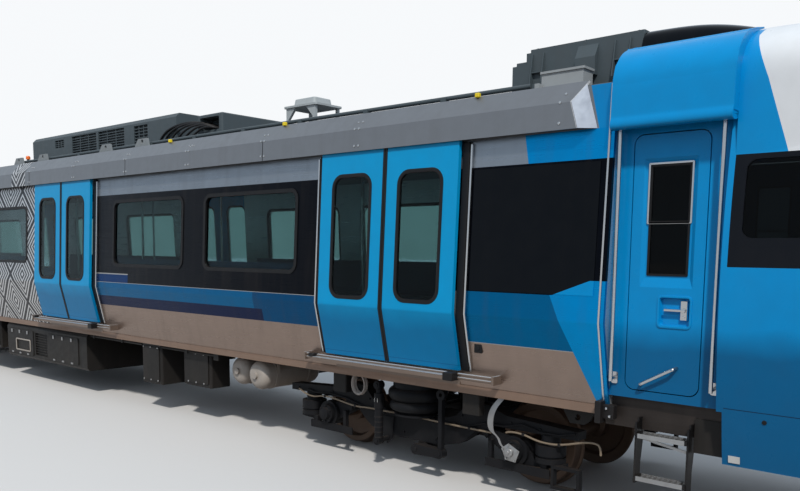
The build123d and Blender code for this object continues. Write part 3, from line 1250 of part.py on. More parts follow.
# Pieces on the outer side of each bogie frame
DAMPER = (-330.0, 1170.0, RAIL + 255.0, RAIL + 862.0)
DAMPER_TUBE = 42.0
DAMPER_ROD = 28.0
BAR_Z = RAIL + 245.0
BAR_DX = 150.0
BAR_RADIUS = 40.0
LINK = (440.0, 1130.0, RAIL + 862.0)
HEAD_RADIUS = 42.0
GUARD_PLATE = [
    # rear and front end from the pivot, low and high edge
    (900.0, 1575.0, 205.0, 285.0), (-1460.0, -820.0, 205.0, 285.0)]
GUARD_Y = 1045.0
GUARD_THICK = 14.0
LOOP_PLATE = (1590.0, 1860.0, 130.0, 335.0, 26.0)
BLOCK_GAP = 10.0
BLOCK_THICK = 45.0
BLOCK_ANGLE = 8.0
BLOCK_Y = 585.0
HANGER_HALF = 45.0
CABLE_RADIUS = 9.0
CABLE_Y = FRAME_FACE + 18.0
CABLE_LEVEL = 520.0
CABLE_CLIPS = [-380.0, -60.0, 260.0, 520.0, 760.0]
CABLE_ROUTE = [
    # from the pivot, height above the rail
    (-1540, 615), (-1400, 592), (-1180, 610), (-930, 590), (-600, 520), (640, 520), (860, 590), (1100, 600),
    (1275, 640), (1470, 600), (1658, 602), (1800, 640)]

for bogie, pivot_x in PIVOT_X.items():
    ahead_of_pivot = 1 if bogie == "front" else -1
    with BuildPart() as bogie_frame:
        with BuildSketch(Plane.XZ.offset(FRAME_Y - FRAME_WIDTH / 2)):
            with BuildLine():
                ahead = [(pivot_x + dx, RAIL + h) for dx, h in FRAME_HALF_PROFILE]
                behind = [(pivot_x - dx, RAIL + h) for dx, h in reversed(FRAME_HALF_PROFILE[1:-1])]
                Polyline(*ahead, *behind, close=True)
            make_face()
        extrude(amount=FRAME_WIDTH)
        bush_dx, bush_z, bush_radius = BUSH
        for axle_side in (-1, 1):
            bush_x = pivot_x + axle_side * bush_dx
            for plate_y in (FRAME_Y - FRAME_WIDTH / 2, FRAME_FACE - LUG_PLATE):
                with BuildSketch(Plane.XZ.offset(plate_y)):
                    with BuildLine():
                        Polyline((bush_x - 75, RAIL + 600), (bush_x + 75, RAIL + 600),
                                 (bush_x + bush_radius, RAIL + bush_z), (bush_x, RAIL + bush_z - bush_radius),
                                 (bush_x - bush_radius, RAIL + bush_z), close=True)
                    make_face()
                    with Locations((bush_x, RAIL + bush_z)):
                        Circle(BUSH_PIN, mode=Mode.SUBTRACT)
                extrude(amount=LUG_PLATE)
        mirror(about=Plane.XZ)
        tube_dx, tube_radius, tube_z = CROSS_TUBE
        with BuildSketch(Plane.XZ.offset(-FRAME_Y)):
            with Locations((pivot_x - tube_dx, tube_z), (pivot_x + tube_dx, tube_z)):
                Circle(tube_radius)
        extrude(amount=2 * FRAME_Y)
        with BuildSketch(Plane.XY.offset(tube_z - 60)):
            with Locations((pivot_x, 0)):
                Rectangle(2 * tube_dx, 2 * TRANSOM_HALF)
        extrude(amount=120)
        with BuildSketch(Plane.XY.offset(tube_z)):
            with Locations((pivot_x, 0)):
                Circle(PIVOT_RADIUS)
        extrude(amount=PIVOT_TOP - tube_z)
        with BuildSketch(Plane.XY.offset(RAIL + 540)):
            with Locations((pivot_x, -FRAME_Y), (pivot_x, FRAME_Y)):
                Circle(SPRING_RADIUS * 0.8)
        extrude(amount=20)
    save(f"{bogie}_bogie_frame", bogie_frame.part)

    with BuildPart() as air_springs:
        with BuildSketch(Plane.XZ.offset(FRAME_Y)):
            with BuildLine():
                Polyline((pivot_x, RAIL + 560), (pivot_x + 200, RAIL + 560), (pivot_x + 215, RAIL + 590))
                ThreePointArc((pivot_x + 215, RAIL + 590), (pivot_x + 285, RAIL + 640),
                              (pivot_x + 240, RAIL + 690))
                ThreePointArc((pivot_x + 240, RAIL + 690), (pivot_x + SPRING_RADIUS, RAIL + 755),
                              (pivot_x + 250, RAIL + 820))
                Polyline((pivot_x + 250, RAIL + 820), (pivot_x + 250, SPRING_TOP), (pivot_x, SPRING_TOP),
                         (pivot_x, RAIL + 560))
            make_face()
        revolve(axis=Axis((pivot_x, -FRAME_Y, 0), (0, 0, 1)))
        mirror(about=Plane.XZ)
    save(f"{bogie}_air_springs", air_springs.part)

    with BuildPart() as axleboxes:
        bush_dx, bush_z, bush_radius = BUSH
        pot_dx, pot_foot, pot_head, pot_radius = POT
        for axle_side in (-1, 1):
            axle_x = pivot_x + axle_side * WHEELBASE / 2
            bush_x = pivot_x + axle_side * bush_dx
            pot_x = pivot_x + axle_side * pot_dx
            with BuildSketch(Plane.XZ.offset(FRAME_Y - ARM_HALF)):
                with BuildLine():
                    Polyline((bush_x - axle_side * 20, RAIL + bush_z + 45), (axle_x - axle_side * 40, AXLE_Z + 118),
                             (axle_x + axle_side * 60, AXLE_Z + 110), (pot_x - axle_side * 130, RAIL + pot_foot),
                             (pot_x + axle_side * 150, RAIL + pot_foot),
                             (pot_x + axle_side * 150, RAIL + pot_foot - 38),
                             (pot_x - axle_side * 120, RAIL + pot_foot - 60), (axle_x, AXLE_Z - 125),
                             (bush_x - axle_side * 25, RAIL + bush_z - 40), close=True)
                make_face()
                with Locations((bush_x, RAIL + bush_z)):
                    Circle(bush_radius - 4)
            extrude(amount=2 * ARM_HALF)
            with BuildSketch(Plane.XZ.offset(FRAME_Y - HOUSING_HALF)):
                with Locations((axle_x, AXLE_Z)):
                    Circle(HOUSING_RADIUS)
            extrude(amount=2 * HOUSING_HALF)
            with BuildSketch(Plane.XZ.offset(FRAME_Y - FRAME_WIDTH / 2 - 10)):
                with Locations((bush_x, RAIL + bush_z)):
                    Circle(BUSH_PIN)
            extrude(amount=FRAME_WIDTH + 20)
            for head_y in (FRAME_Y - FRAME_WIDTH / 2 - 10, FRAME_FACE):
                with BuildSketch(Plane.XZ.offset(head_y)):
                    with Locations((bush_x, RAIL + bush_z)):
                        Circle(BUSH_PIN + 12)
                extrude(amount=10)
            with BuildSketch(Plane.XZ.offset(FRAME_Y + HOUSING_HALF)):
                with Locations((axle_x, AXLE_Z)):
                    Circle(100)
            extrude(amount=45)
            with BuildSketch(Plane.XZ.offset(FRAME_Y + HOUSING_HALF + 45)):
                with Locations((axle_x, AXLE_Z)):
                    Circle(72)
            extrude(amount=22, taper=20)
            with BuildSketch(Plane.XZ.offset(FRAME_Y - HOUSING_HALF)):
                with Locations((axle_x, AXLE_Z)):
                    Circle(JOURNAL_RADIUS + 1)
            extrude(amount=JOURNAL_END - FRAME_Y + HOUSING_HALF + 2, mode=Mode.SUBTRACT)
            with BuildSketch(Plane.XY.offset(RAIL + pot_foot)):
                with Locations((pot_x, -FRAME_Y)):
                    Circle(pot_radius)
            extrude(amount=pot_head - pot_foot)
            with BuildSketch(Plane.XY.offset(RAIL + pot_foot + 45)):
                with Locations((pot_x, -FRAME_Y)):
                    Circle(pot_radius + 1)
                    Circle(pot_radius - 18, mode=Mode.SUBTRACT)
            extrude(amount=22, mode=Mode.SUBTRACT)
            with BuildSketch(Plane.XY.offset(RAIL + pot_head)):
                with Locations((pot_x, -FRAME_Y)):
                    Circle(POT_NECK)
            extrude(amount=578 - pot_head)
        mirror(about=Plane.XZ)
    save(f"{bogie}_axleboxes", axleboxes.part)

    with BuildPart() as bogie_gear:
        damper_dx, damper_y, damper_foot, damper_head = DAMPER
        damper_x = pivot_x + ahead_of_pivot * damper_dx
        with BuildSketch(Plane.XY.offset(damper_foot)):
            with Locations((damper_x, -damper_y)):
                Circle(DAMPER_TUBE)
        extrude(amount=330)
        with BuildSketch(Plane.XY.offset(damper_foot + 330)):
            with Locations((damper_x, -damper_y)):
                Circle(DAMPER_TUBE + 8)
        extrude(amount=150)
        with BuildSketch(Plane.XY.offset(damper_foot + 480)):
            with Locations((damper_x, -damper_y)):
                Circle(DAMPER_ROD)
        extrude(amount=damper_head - HEAD_RADIUS - damper_foot - 480)
        for eye_z in (damper_foot, damper_head - HEAD_RADIUS):
            with BuildSketch(Plane.XZ.offset(damper_y - 40)):
                with Locations((damper_x, eye_z)):
                    Circle(HEAD_RADIUS)
            extrude(amount=80)
        with BuildSketch(Plane.XZ.offset(FRAME_FACE)):
            with BuildLine():
                Polyline((damper_x - 80, RAIL + 480), (damper_x - 60, damper_foot), (damper_x, damper_foot - 55),
                         (damper_x + 60, damper_foot), (damper_x + 80, RAIL + 480), close=True)
            make_face()
        extrude(amount=14)
        with BuildSketch(Plane.XZ.offset(FRAME_FACE)):
            with Locations((damper_x, damper_foot)):
                Circle(24)
        extrude(amount=damper_y - FRAME_FACE)
        link_dx, link_y, link_head = LINK
        link_x = pivot_x + ahead_of_pivot * link_dx
        bar_x = pivot_x + ahead_of_pivot * BAR_DX
        with BuildSketch(Plane.XZ):
            with Locations((bar_x, BAR_Z)):
                Circle(BAR_RADIUS)
        extrude(amount=link_y + 40)
        with BuildSketch(Plane.XZ.offset(link_y - 40)):
            with BuildLine():
                Polyline((bar_x, BAR_Z - 52), (bar_x, BAR_Z + 52), (link_x, BAR_Z + 42), (link_x, BAR_Z - 42),
                         close=True)
            make_face()
            with Locations((bar_x, BAR_Z)):
                Circle(54)
            with Locations((link_x, BAR_Z)):
                Circle(46)
        extrude(amount=80)
        with BuildSketch(Plane.XZ.offset(link_y - 24)):
            with BuildLine():
                Polyline((link_x - 22, BAR_Z), (link_x + 22, BAR_Z), (link_x + 22, link_head - 45),
                         (link_x - 22, link_head - 45), close=True)
            make_face()
            with Locations((link_x, link_head - 50)):
                Circle(50)
            with Locations((link_x, link_head - 50)):
                Circle(20, mode=Mode.SUBTRACT)
        extrude(amount=48)
        with BuildSketch(Plane.XZ.offset(900)):
            with Locations((bar_x, (BAR_Z + RAIL + 290) / 2)):
                Rectangle(130, RAIL + 290 - BAR_Z)
        extrude(amount=60)
        pot_dx, pot_foot, pot_head, pot_radius = POT
        for start_dx, end_dx, low, high in GUARD_PLATE:
            start_x = pivot_x + ahead_of_pivot * start_dx
            end_x = pivot_x + ahead_of_pivot * end_dx
            with BuildSketch(Plane.XZ.offset(GUARD_Y)):
                with BuildLine():
                    Polyline((start_x, RAIL + low), (start_x, RAIL + high), (end_x, RAIL + high),
                             (end_x, RAIL + low), close=True)
                make_face()
            extrude(amount=GUARD_THICK)
            outer_x = start_x + (end_x - start_x) * (0.9 if start_dx > 0 else 0.1)
            inner_x = start_x + (end_x - start_x) * (0.06 if start_dx > 0 else 0.8)
            with BuildSketch(Plane.XZ.offset(FRAME_Y + ARM_HALF)):
                with Locations((outer_x, RAIL + (low + pot_foot) / 2)):
                    Rectangle(60, pot_foot - low)
                with Locations((inner_x, RAIL + (low + 450) / 2)):
                    Rectangle(40, 450 - low)
            extrude(amount=GUARD_Y - FRAME_Y - ARM_HALF)
        rear_dx, front_dx, low, high, wall = LOOP_PLATE
        loop_x = pivot_x + ahead_of_pivot * (rear_dx + front_dx) / 2
        with BuildSketch(Plane.XZ.offset(FRAME_Y + ARM_HALF)):
            with Locations((loop_x, RAIL + (low + high) / 2)):
                Rectangle(front_dx - rear_dx, high - low)
                Rectangle(front_dx - rear_dx - 2 * wall, high - low - 2 * wall, mode=Mode.SUBTRACT)
        extrude(amount=60)
        with BuildSketch(Plane.XZ.offset(FRAME_FACE + 6)):
            for clip_dx in CABLE_CLIPS:
                with Locations((pivot_x + ahead_of_pivot * clip_dx, RAIL + CABLE_LEVEL)):
                    Rectangle(34, 34)
        extrude(amount=24)
        with BuildSketch(Plane.XZ.offset(FRAME_FACE)):
            for clip_dx in CABLE_CLIPS:
                with Locations((pivot_x + ahead_of_pivot * clip_dx, RAIL + CABLE_LEVEL)):
                    Rectangle(20, 34)
        extrude(amount=6)
        with BuildLine() as route:
            FilletPolyline(*[(pivot_x + ahead_of_pivot * dx, -CABLE_Y, RAIL + h) for dx, h in CABLE_ROUTE],
                           radius=40)
        with BuildSketch(Plane(origin=route.line @ 0, z_dir=route.line % 0)):
            Circle(CABLE_RADIUS)
        sweep(path=route.line)
        for block_side in (-1, 1):
            axle_x = pivot_x + block_side * WHEELBASE / 2
            with BuildSketch(Plane.XZ.offset(BLOCK_Y - HANGER_HALF)):
                with BuildLine():
                    near = WHEEL_RADIUS + BLOCK_GAP
                    far = near + BLOCK_THICK
                    inner_low = PolarLine((axle_x, AXLE_Z), near, 180 + BLOCK_ANGLE, mode=Mode.PRIVATE) @ 1
                    inner_high = PolarLine((axle_x, AXLE_Z), near, 180 - BLOCK_ANGLE, mode=Mode.PRIVATE) @ 1
                    outer_high = PolarLine((axle_x, AXLE_Z), far, 180 - BLOCK_ANGLE, mode=Mode.PRIVATE) @ 1
                    outer_low = PolarLine((axle_x, AXLE_Z), far, 180 + BLOCK_ANGLE, mode=Mode.PRIVATE) @ 1
                    if block_side < 0:
                        flip = [Vector(2 * axle_x - v.X, v.Y) for v in (inner_low, inner_high, outer_high, outer_low)]
                        inner_low, inner_high, outer_high, outer_low = flip
                    ThreePointArc(inner_low, (axle_x - block_side * near, AXLE_Z), inner_high)
                    Line(inner_high, outer_high)
                    ThreePointArc(outer_high, (axle_x - block_side * far, AXLE_Z), outer_low)
                    Line(outer_low, inner_low)
                make_face()
            extrude(amount=2 * HANGER_HALF)
            with BuildSketch(Plane.XZ.offset(BLOCK_Y - HANGER_HALF)):
                with Locations((pivot_x + block_side * 545, RAIL + 400)):
                    Rectangle(470, 90)
            extrude(amount=2 * HANGER_HALF)
            tube_dx, tube_radius, tube_z = CROSS_TUBE
            with BuildSketch(Plane.XZ.offset(BLOCK_Y - HANGER_HALF - 1)):
                with Locations((pivot_x + block_side * tube_dx, tube_z)):
                    Circle(tube_radius)
            extrude(amount=2 * HANGER_HALF + 2, mode=Mode.SUBTRACT)
            with BuildSketch(Plane.XZ.offset(BLOCK_Y - HANGER_HALF - 1)):
                with Locations((axle_x, AXLE_Z)):
                    Circle(WHEEL_RADIUS + BLOCK_GAP)
            extrude(amount=2 * HANGER_HALF + 2, mode=Mode.SUBTRACT)
        mirror(about=Plane.XZ)
    save(f"{bogie}_bogie_gear", bogie_gear.part)
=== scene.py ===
# %% [markdown]
# # A metro car in Blender
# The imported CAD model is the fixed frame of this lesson: it gives every panel, door and bogie its place.
# We load it first, keep its box, and then dress it with materials and with the small pieces
# that a CAD model leaves out, such as door rubbers, bolts, wipers and hoses.
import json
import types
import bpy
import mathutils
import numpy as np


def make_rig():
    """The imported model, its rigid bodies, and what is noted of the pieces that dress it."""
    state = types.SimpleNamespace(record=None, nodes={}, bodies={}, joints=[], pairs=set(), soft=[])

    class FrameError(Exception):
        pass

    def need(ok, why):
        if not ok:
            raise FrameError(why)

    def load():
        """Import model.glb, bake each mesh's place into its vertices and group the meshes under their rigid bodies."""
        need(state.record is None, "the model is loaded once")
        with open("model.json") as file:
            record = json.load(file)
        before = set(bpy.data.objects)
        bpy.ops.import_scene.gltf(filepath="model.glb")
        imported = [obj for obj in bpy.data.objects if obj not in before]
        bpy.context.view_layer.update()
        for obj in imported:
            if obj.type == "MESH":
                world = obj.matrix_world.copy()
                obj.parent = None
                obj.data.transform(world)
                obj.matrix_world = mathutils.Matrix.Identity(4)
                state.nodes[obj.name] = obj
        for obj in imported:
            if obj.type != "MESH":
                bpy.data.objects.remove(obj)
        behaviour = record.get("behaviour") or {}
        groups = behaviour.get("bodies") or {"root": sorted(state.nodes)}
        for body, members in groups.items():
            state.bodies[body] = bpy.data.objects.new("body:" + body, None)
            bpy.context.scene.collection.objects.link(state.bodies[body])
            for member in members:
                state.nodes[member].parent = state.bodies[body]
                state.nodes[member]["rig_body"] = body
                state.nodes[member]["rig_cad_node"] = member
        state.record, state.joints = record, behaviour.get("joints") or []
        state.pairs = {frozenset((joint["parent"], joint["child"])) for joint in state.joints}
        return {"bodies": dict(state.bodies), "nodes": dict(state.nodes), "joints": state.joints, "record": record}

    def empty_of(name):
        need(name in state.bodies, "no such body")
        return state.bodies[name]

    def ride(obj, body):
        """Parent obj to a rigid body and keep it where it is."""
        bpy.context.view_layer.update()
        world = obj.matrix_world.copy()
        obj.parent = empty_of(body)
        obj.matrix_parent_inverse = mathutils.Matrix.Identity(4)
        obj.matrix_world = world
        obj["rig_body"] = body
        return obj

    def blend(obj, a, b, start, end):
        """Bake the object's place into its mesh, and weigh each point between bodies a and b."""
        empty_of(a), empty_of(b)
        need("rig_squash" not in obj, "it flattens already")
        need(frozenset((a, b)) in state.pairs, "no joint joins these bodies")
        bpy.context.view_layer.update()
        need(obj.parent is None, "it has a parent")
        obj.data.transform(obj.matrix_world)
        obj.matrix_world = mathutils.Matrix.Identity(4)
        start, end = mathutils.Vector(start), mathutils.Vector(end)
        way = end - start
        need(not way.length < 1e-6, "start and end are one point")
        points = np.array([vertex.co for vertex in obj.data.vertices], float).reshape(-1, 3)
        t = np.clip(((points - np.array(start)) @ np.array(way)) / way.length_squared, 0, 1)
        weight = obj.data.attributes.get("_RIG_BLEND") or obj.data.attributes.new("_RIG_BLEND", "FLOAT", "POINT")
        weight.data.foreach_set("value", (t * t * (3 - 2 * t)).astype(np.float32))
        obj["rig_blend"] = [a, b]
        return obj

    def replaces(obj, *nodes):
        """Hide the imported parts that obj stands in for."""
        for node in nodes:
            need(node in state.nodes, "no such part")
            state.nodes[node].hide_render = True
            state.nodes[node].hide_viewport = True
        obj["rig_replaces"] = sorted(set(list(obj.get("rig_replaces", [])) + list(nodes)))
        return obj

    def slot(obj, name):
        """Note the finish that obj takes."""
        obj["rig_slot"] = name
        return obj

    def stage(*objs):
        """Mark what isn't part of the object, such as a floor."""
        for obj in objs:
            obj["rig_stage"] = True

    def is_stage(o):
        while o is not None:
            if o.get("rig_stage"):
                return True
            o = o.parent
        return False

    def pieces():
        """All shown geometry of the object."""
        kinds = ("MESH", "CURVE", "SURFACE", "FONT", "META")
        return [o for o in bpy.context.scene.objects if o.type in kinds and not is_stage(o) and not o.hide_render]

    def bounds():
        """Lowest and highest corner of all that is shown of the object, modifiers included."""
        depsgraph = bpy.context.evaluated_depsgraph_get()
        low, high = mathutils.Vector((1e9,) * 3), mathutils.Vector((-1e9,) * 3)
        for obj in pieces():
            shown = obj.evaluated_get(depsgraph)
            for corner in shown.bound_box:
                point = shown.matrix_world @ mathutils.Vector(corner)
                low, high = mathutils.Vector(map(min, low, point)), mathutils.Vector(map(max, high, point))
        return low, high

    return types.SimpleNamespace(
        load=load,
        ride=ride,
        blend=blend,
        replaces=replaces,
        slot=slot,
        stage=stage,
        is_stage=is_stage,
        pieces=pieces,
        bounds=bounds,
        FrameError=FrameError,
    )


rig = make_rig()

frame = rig.load()
CAD_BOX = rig.bounds()
print("nodes", len(frame["nodes"]), "bodies", len(frame["bodies"]), "box", CAD_BOX)

# %% Tools of the lesson
import json
import math
import bpy
from mathutils import Matrix, Vector

NODES = frame["nodes"]
TREAD = 0.028


def up(height):
    """The z of a height above the wheel treads: the model stands on its flanges, which reach lower."""
    return TREAD + height


def deselect():
    """The frame arrives selected, and an operator acts on all that is selected."""
    if bpy.context.object and bpy.context.object.mode != "OBJECT":
        bpy.ops.object.mode_set(mode="OBJECT")
    bpy.ops.object.select_all(action="DESELECT")


deselect()
print("selected", len(bpy.context.selected_objects))

# %% [markdown]
# ## The camera
# The camera stands ahead of the cab and well out to its right, and looks back along the car.
# Its lens and its place were solved from the straight edges of the car in the photograph.
# The frame sits a little above the line of sight, so the camera gets a small vertical shift.

# %% Camera
CAMERA_PLACE = Vector((10.680, -6.9205, 2.185))
YAW, PITCH, ROLL = (math.radians(a) for a in (48.784, -6.541, 0.595))
LENS = 35.53
SHIFT_UP = 0.120

ahead = Vector((-math.cos(YAW), math.sin(YAW), 0))
side = Vector((math.sin(YAW), math.cos(YAW), 0))
zenith = Vector((0, 0, 1))
sight = ahead * math.cos(PITCH) + zenith * math.sin(PITCH)
upright = zenith * math.cos(PITCH) - ahead * math.sin(PITCH)
camera_x = side * math.cos(ROLL) + upright * math.sin(ROLL)
camera_y = upright * math.cos(ROLL) - side * math.sin(ROLL)

camera_data = bpy.data.cameras.new("camera")
camera_data.lens = LENS
camera_data.sensor_width = 36.0
camera_data.shift_y = SHIFT_UP
camera_data.clip_end = 400.0
camera = bpy.data.objects.new("camera", camera_data)
bpy.context.collection.objects.link(camera)
turn = Matrix((camera_x, camera_y, -sight)).transposed().to_4x4()
camera.matrix_world = Matrix.Translation(CAMERA_PLACE) @ turn
bpy.context.scene.camera = camera
print("camera at", tuple(round(v, 3) for v in CAMERA_PLACE), "lens", LENS)

# %% [markdown]
# ## Floor, backdrop and light
# The car stands on a plain pale floor, whose paint is a little darker for the light that it throws back up.
# The world is white only for the camera, a soft grey-green through the windows and dimmer for everything else,
# so the background is bright while the paint keeps its own colour.
# A soft sun stands high, ahead of the cab and to its right, so the hoods throw short shadows on the doors.

# %% Floor
FLOOR_SIZE = 300.0
FLOOR_COLOUR = (0.62, 0.605, 0.59, 1)
FLOOR_BOUNCE = (0.20, 0.165, 0.14, 1)

bpy.ops.mesh.primitive_plane_add(size=FLOOR_SIZE)
floor = bpy.context.object
floor.name = "floor"
floor_paint = bpy.data.materials.new("floor_paint")
floor_paint.use_nodes = True
nodes, links = floor_paint.node_tree.nodes, floor_paint.node_tree.links
shader = nodes["Principled BSDF"]
shader.inputs["Roughness"].default_value = 0.9
shader.inputs["Specular IOR Level"].default_value = 0.0
floor_mix = nodes.new("ShaderNodeMix")
floor_mix.data_type = "RGBA"
floor_mix.inputs["A"].default_value = FLOOR_COLOUR
floor_mix.inputs["B"].default_value = FLOOR_BOUNCE
ray = nodes.new("ShaderNodeLightPath")
links.new(ray.outputs["Is Diffuse Ray"], floor_mix.inputs["Factor"])
links.new(floor_mix.outputs["Result"], shader.inputs["Base Color"])
floor.data.materials.append(floor_paint)
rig.stage(floor)
deselect()
print("floor", FLOOR_SIZE, "m wide")

# %% World
SKY_COLOUR = (0.74, 0.86, 1.0, 1)
SKY_LIGHT = 0.75
BEHIND_GLASS = (0.45, 0.53, 0.50, 1)
BACKDROP = (0.93, 0.95, 0.97, 1)

world = bpy.data.worlds.new("studio")
bpy.context.scene.world = world
world.use_nodes = True
nodes, links = world.node_tree.nodes, world.node_tree.links
seen = nodes["Background"]
seen.inputs["Color"].default_value = SKY_COLOUR
seen.inputs["Strength"].default_value = SKY_LIGHT
ray = nodes.new("ShaderNodeLightPath")
for kind, colour in (("Is Transmission Ray", BEHIND_GLASS), ("Is Camera Ray", BACKDROP)):
    plain = nodes.new("ShaderNodeBackground")
    plain.inputs["Color"].default_value = colour
    choice = nodes.new("ShaderNodeMixShader")
    links.new(ray.outputs[kind], choice.inputs["Fac"])
    links.new(seen.outputs[0], choice.inputs[1])
    links.new(plain.outputs[0], choice.inputs[2])
    seen = choice
links.new(seen.outputs[0], nodes["World Output"].inputs["Surface"])
bpy.context.scene.view_settings.view_transform = "Standard"
print("world ready")

# %% Sun
SUN_TRAVEL = Vector((-0.45, 0.50, -0.74))
SUN_STRENGTH = 2.7
SUN_COLOUR = (1.0, 0.97, 0.92)
SUN_WIDTH = math.radians(4.0)

sun_data = bpy.data.lights.new("sun", "SUN")
sun_data.energy = SUN_STRENGTH
sun_data.angle = SUN_WIDTH
sun_data.color = SUN_COLOUR
sun = bpy.data.objects.new("sun", sun_data)
bpy.context.collection.objects.link(sun)
sun.rotation_euler = SUN_TRAVEL.to_track_quat("-Z", "Y").to_euler()
print("sun ready")

# %% [markdown]
# ## Finishes
# Each finish is a small tree of nodes on a Principled shader. Effects that many finishes share, such as dust
# that gathers low down, streaks of dirt and the grain of brushed steel, are node groups that put out
# masks and heights only. A helper places a group in a material with that material's own values.

# %% Node helpers
def group_tree(name, inputs, outputs):
    """An empty shader node group with float inputs and outputs."""
    tree = bpy.data.node_groups.new(name, "ShaderNodeTree")
    for label, value in inputs.items():
        tree.interface.new_socket(label, in_out="INPUT", socket_type="NodeSocketFloat").default_value = value
    for label in outputs:
        tree.interface.new_socket(label, in_out="OUTPUT", socket_type="NodeSocketFloat")
    return tree, tree.nodes.new("NodeGroupInput"), tree.nodes.new("NodeGroupOutput")


def feed(tree, socket, value):
    """Give a socket a plain number or colour, or link another node's output to it."""
    if isinstance(value, tuple):
        socket.default_value = (*value, 1)
    elif isinstance(value, (int, float)):
        socket.default_value = value
    else:
        tree.links.new(value, socket)


def sum_up(tree, operation, *values, clamp=False):
    """A Math node on sockets or plain numbers."""
    node = tree.nodes.new("ShaderNodeMath")
    node.operation = operation
    node.use_clamp = clamp
    for socket, value in zip(node.inputs, values):
        feed(tree, socket, value)
    return node.outputs[0]


def times(tree, first, second, clamp=False):
    """Masks are multiplied so often that the product gets a short name."""
    return sum_up(tree, "MULTIPLY", first, second, clamp=clamp)


def place_axes(tree):
    """The object's own coordinates, whole and as x, y and z."""
    here = tree.nodes.new("ShaderNodeTexCoord")
    split = tree.nodes.new("ShaderNodeSeparateXYZ")
    tree.links.new(here.outputs["Object"], split.inputs[0])
    return here.outputs["Object"], split.outputs


def upward(tree):
    """How far a face looks up: 1 on a floor, 0 on a wall."""
    facing = tree.nodes.new("ShaderNodeNewGeometry")
    parts = tree.nodes.new("ShaderNodeSeparateXYZ")
    tree.links.new(facing.outputs["Normal"], parts.inputs[0])
    return parts.outputs[2]


def noise(tree, coordinates, scale, detail=3.0, stretch=(1, 1, 1)):
    """Noise on stretched object coordinates."""
    mapping = tree.nodes.new("ShaderNodeMapping")
    mapping.inputs["Scale"].default_value = stretch
    tree.links.new(coordinates, mapping.inputs["Vector"])
    node = tree.nodes.new("ShaderNodeTexNoise")
    node.inputs["Detail"].default_value = detail
    feed(tree, node.inputs["Scale"], scale)
    tree.links.new(mapping.outputs[0], node.inputs["Vector"])
    return node.outputs["Fac"]


def fit_range(tree, value, low, high, out_low=0.0, out_high=1.0):
    """Value from low..high to out_low..out_high, clamped."""
    node = tree.nodes.new("ShaderNodeMapRange")
    for socket, number in zip(node.inputs[:5], (value, low, high, out_low, out_high)):
        feed(tree, socket, number)
    return node.outputs[0]


print("node helpers ready")

# %% Effects that many finishes share
def make_dust():
    """Dust that thins out upward from the floor, broken up by noise, and lies on top faces."""
    tree, given, out = group_tree("road_dust", {"Top": 1.2, "Amount": 0.5, "Lying": 0.5}, ["Mask"])
    where, axes = place_axes(tree)
    low = fit_range(tree, axes[2], 0.1, given.outputs["Top"], 1.0, 0.0)
    cloud = fit_range(tree, noise(tree, where, 3.0, 6.0), 0.3, 0.75)
    fine = fit_range(tree, noise(tree, where, 45.0, 2.0), 0.2, 0.8, 0.6, 1.0)
    lying = times(tree, fit_range(tree, upward(tree), 0.55, 0.98), given.outputs["Lying"])
    both = sum_up(tree, "MAXIMUM", times(tree, low, given.outputs["Amount"]), lying)
    mask = times(tree, both, times(tree, fine, sum_up(tree, "ADD", cloud, 0.35)), clamp=True)
    tree.links.new(mask, out.inputs["Mask"])
    return tree


def make_streaks():
    """Rain streaks that run down a wall, thicker in some patches than in others."""
    tree, given, out = group_tree("rain_streaks", {"Amount": 0.5}, ["Mask"])
    where, _ = place_axes(tree)
    runs = fit_range(tree, noise(tree, where, 9.0, 4.0, (1, 1, 0.06)), 0.48, 0.8)
    patches = fit_range(tree, noise(tree, where, 1.1, 4.0), 0.25, 0.8)
    tree.links.new(times(tree, times(tree, runs, patches), given.outputs["Amount"], clamp=True), out.inputs["Mask"])
    return tree


def make_grain():
    """The fine lengthwise grain of brushed steel."""
    tree, given, out = group_tree("brushed_grain", {"Scale": 60.0}, ["Grain", "Height"])
    where, _ = place_axes(tree)
    long_grain = noise(tree, where, given.outputs["Scale"], 5.0, (0.04, 1, 1))
    tree.links.new(fit_range(tree, long_grain, 0.3, 0.7), out.inputs["Grain"])
    tree.links.new(long_grain, out.inputs["Height"])
    return tree


GROUPS = {"dust": make_dust(), "streaks": make_streaks(), "grain": make_grain()}


def use_group(tree, name, **values):
    """Place a shared group in a material with its own values, and return its outputs."""
    node = tree.nodes.new("ShaderNodeGroup")
    node.node_tree = GROUPS[name]
    for label, value in values.items():
        node.inputs[label].default_value = value
    return node.outputs


def mix_colour(tree, mask, under, over):
    """Over laid on under where the mask is 1. Each is a colour or a socket."""
    node = tree.nodes.new("ShaderNodeMix")
    node.data_type = "RGBA"
    colours = [s for s in node.inputs if s.type == "RGBA"]
    for socket, value in zip([node.inputs[0]] + colours, (mask, under, over)):
        feed(tree, socket, value)
    return [s for s in node.outputs if s.type == "RGBA"][0]


def bump(tree, height, strength, distance, shader):
    """Drive a shader's normal from a height."""
    node = tree.nodes.new("ShaderNodeBump")
    node.inputs["Strength"].default_value = strength
    node.inputs["Distance"].default_value = distance
    tree.links.new(height, node.inputs["Height"])
    tree.links.new(node.outputs[0], shader.inputs["Normal"])


print("groups", sorted(GROUPS))

# %% [markdown]
# ### Paint, steel, rubber and glass
# Most finishes are one colour that dust, streaks and fine noise change a little from place to place.
# One function builds them all. Values that stay the same all over go straight on the shader's sockets.
# The panes are thin, so their glass bends the light much less than a solid block would.

# %% Plain finishes
DUST_COLOUR = (0.13, 0.10, 0.08)
SPECK_COLOUR = (0.02, 0.02, 0.02)
SPECKLE = 0.08
COAT_ROUGHNESS = 0.06
GLASS_IOR = 1.18
GLASS_ROUGH = 0.02
BUMP = 0.25
FINE_BUMP, DENT_BUMP = 0.001, 0.01
FINISHES = {}


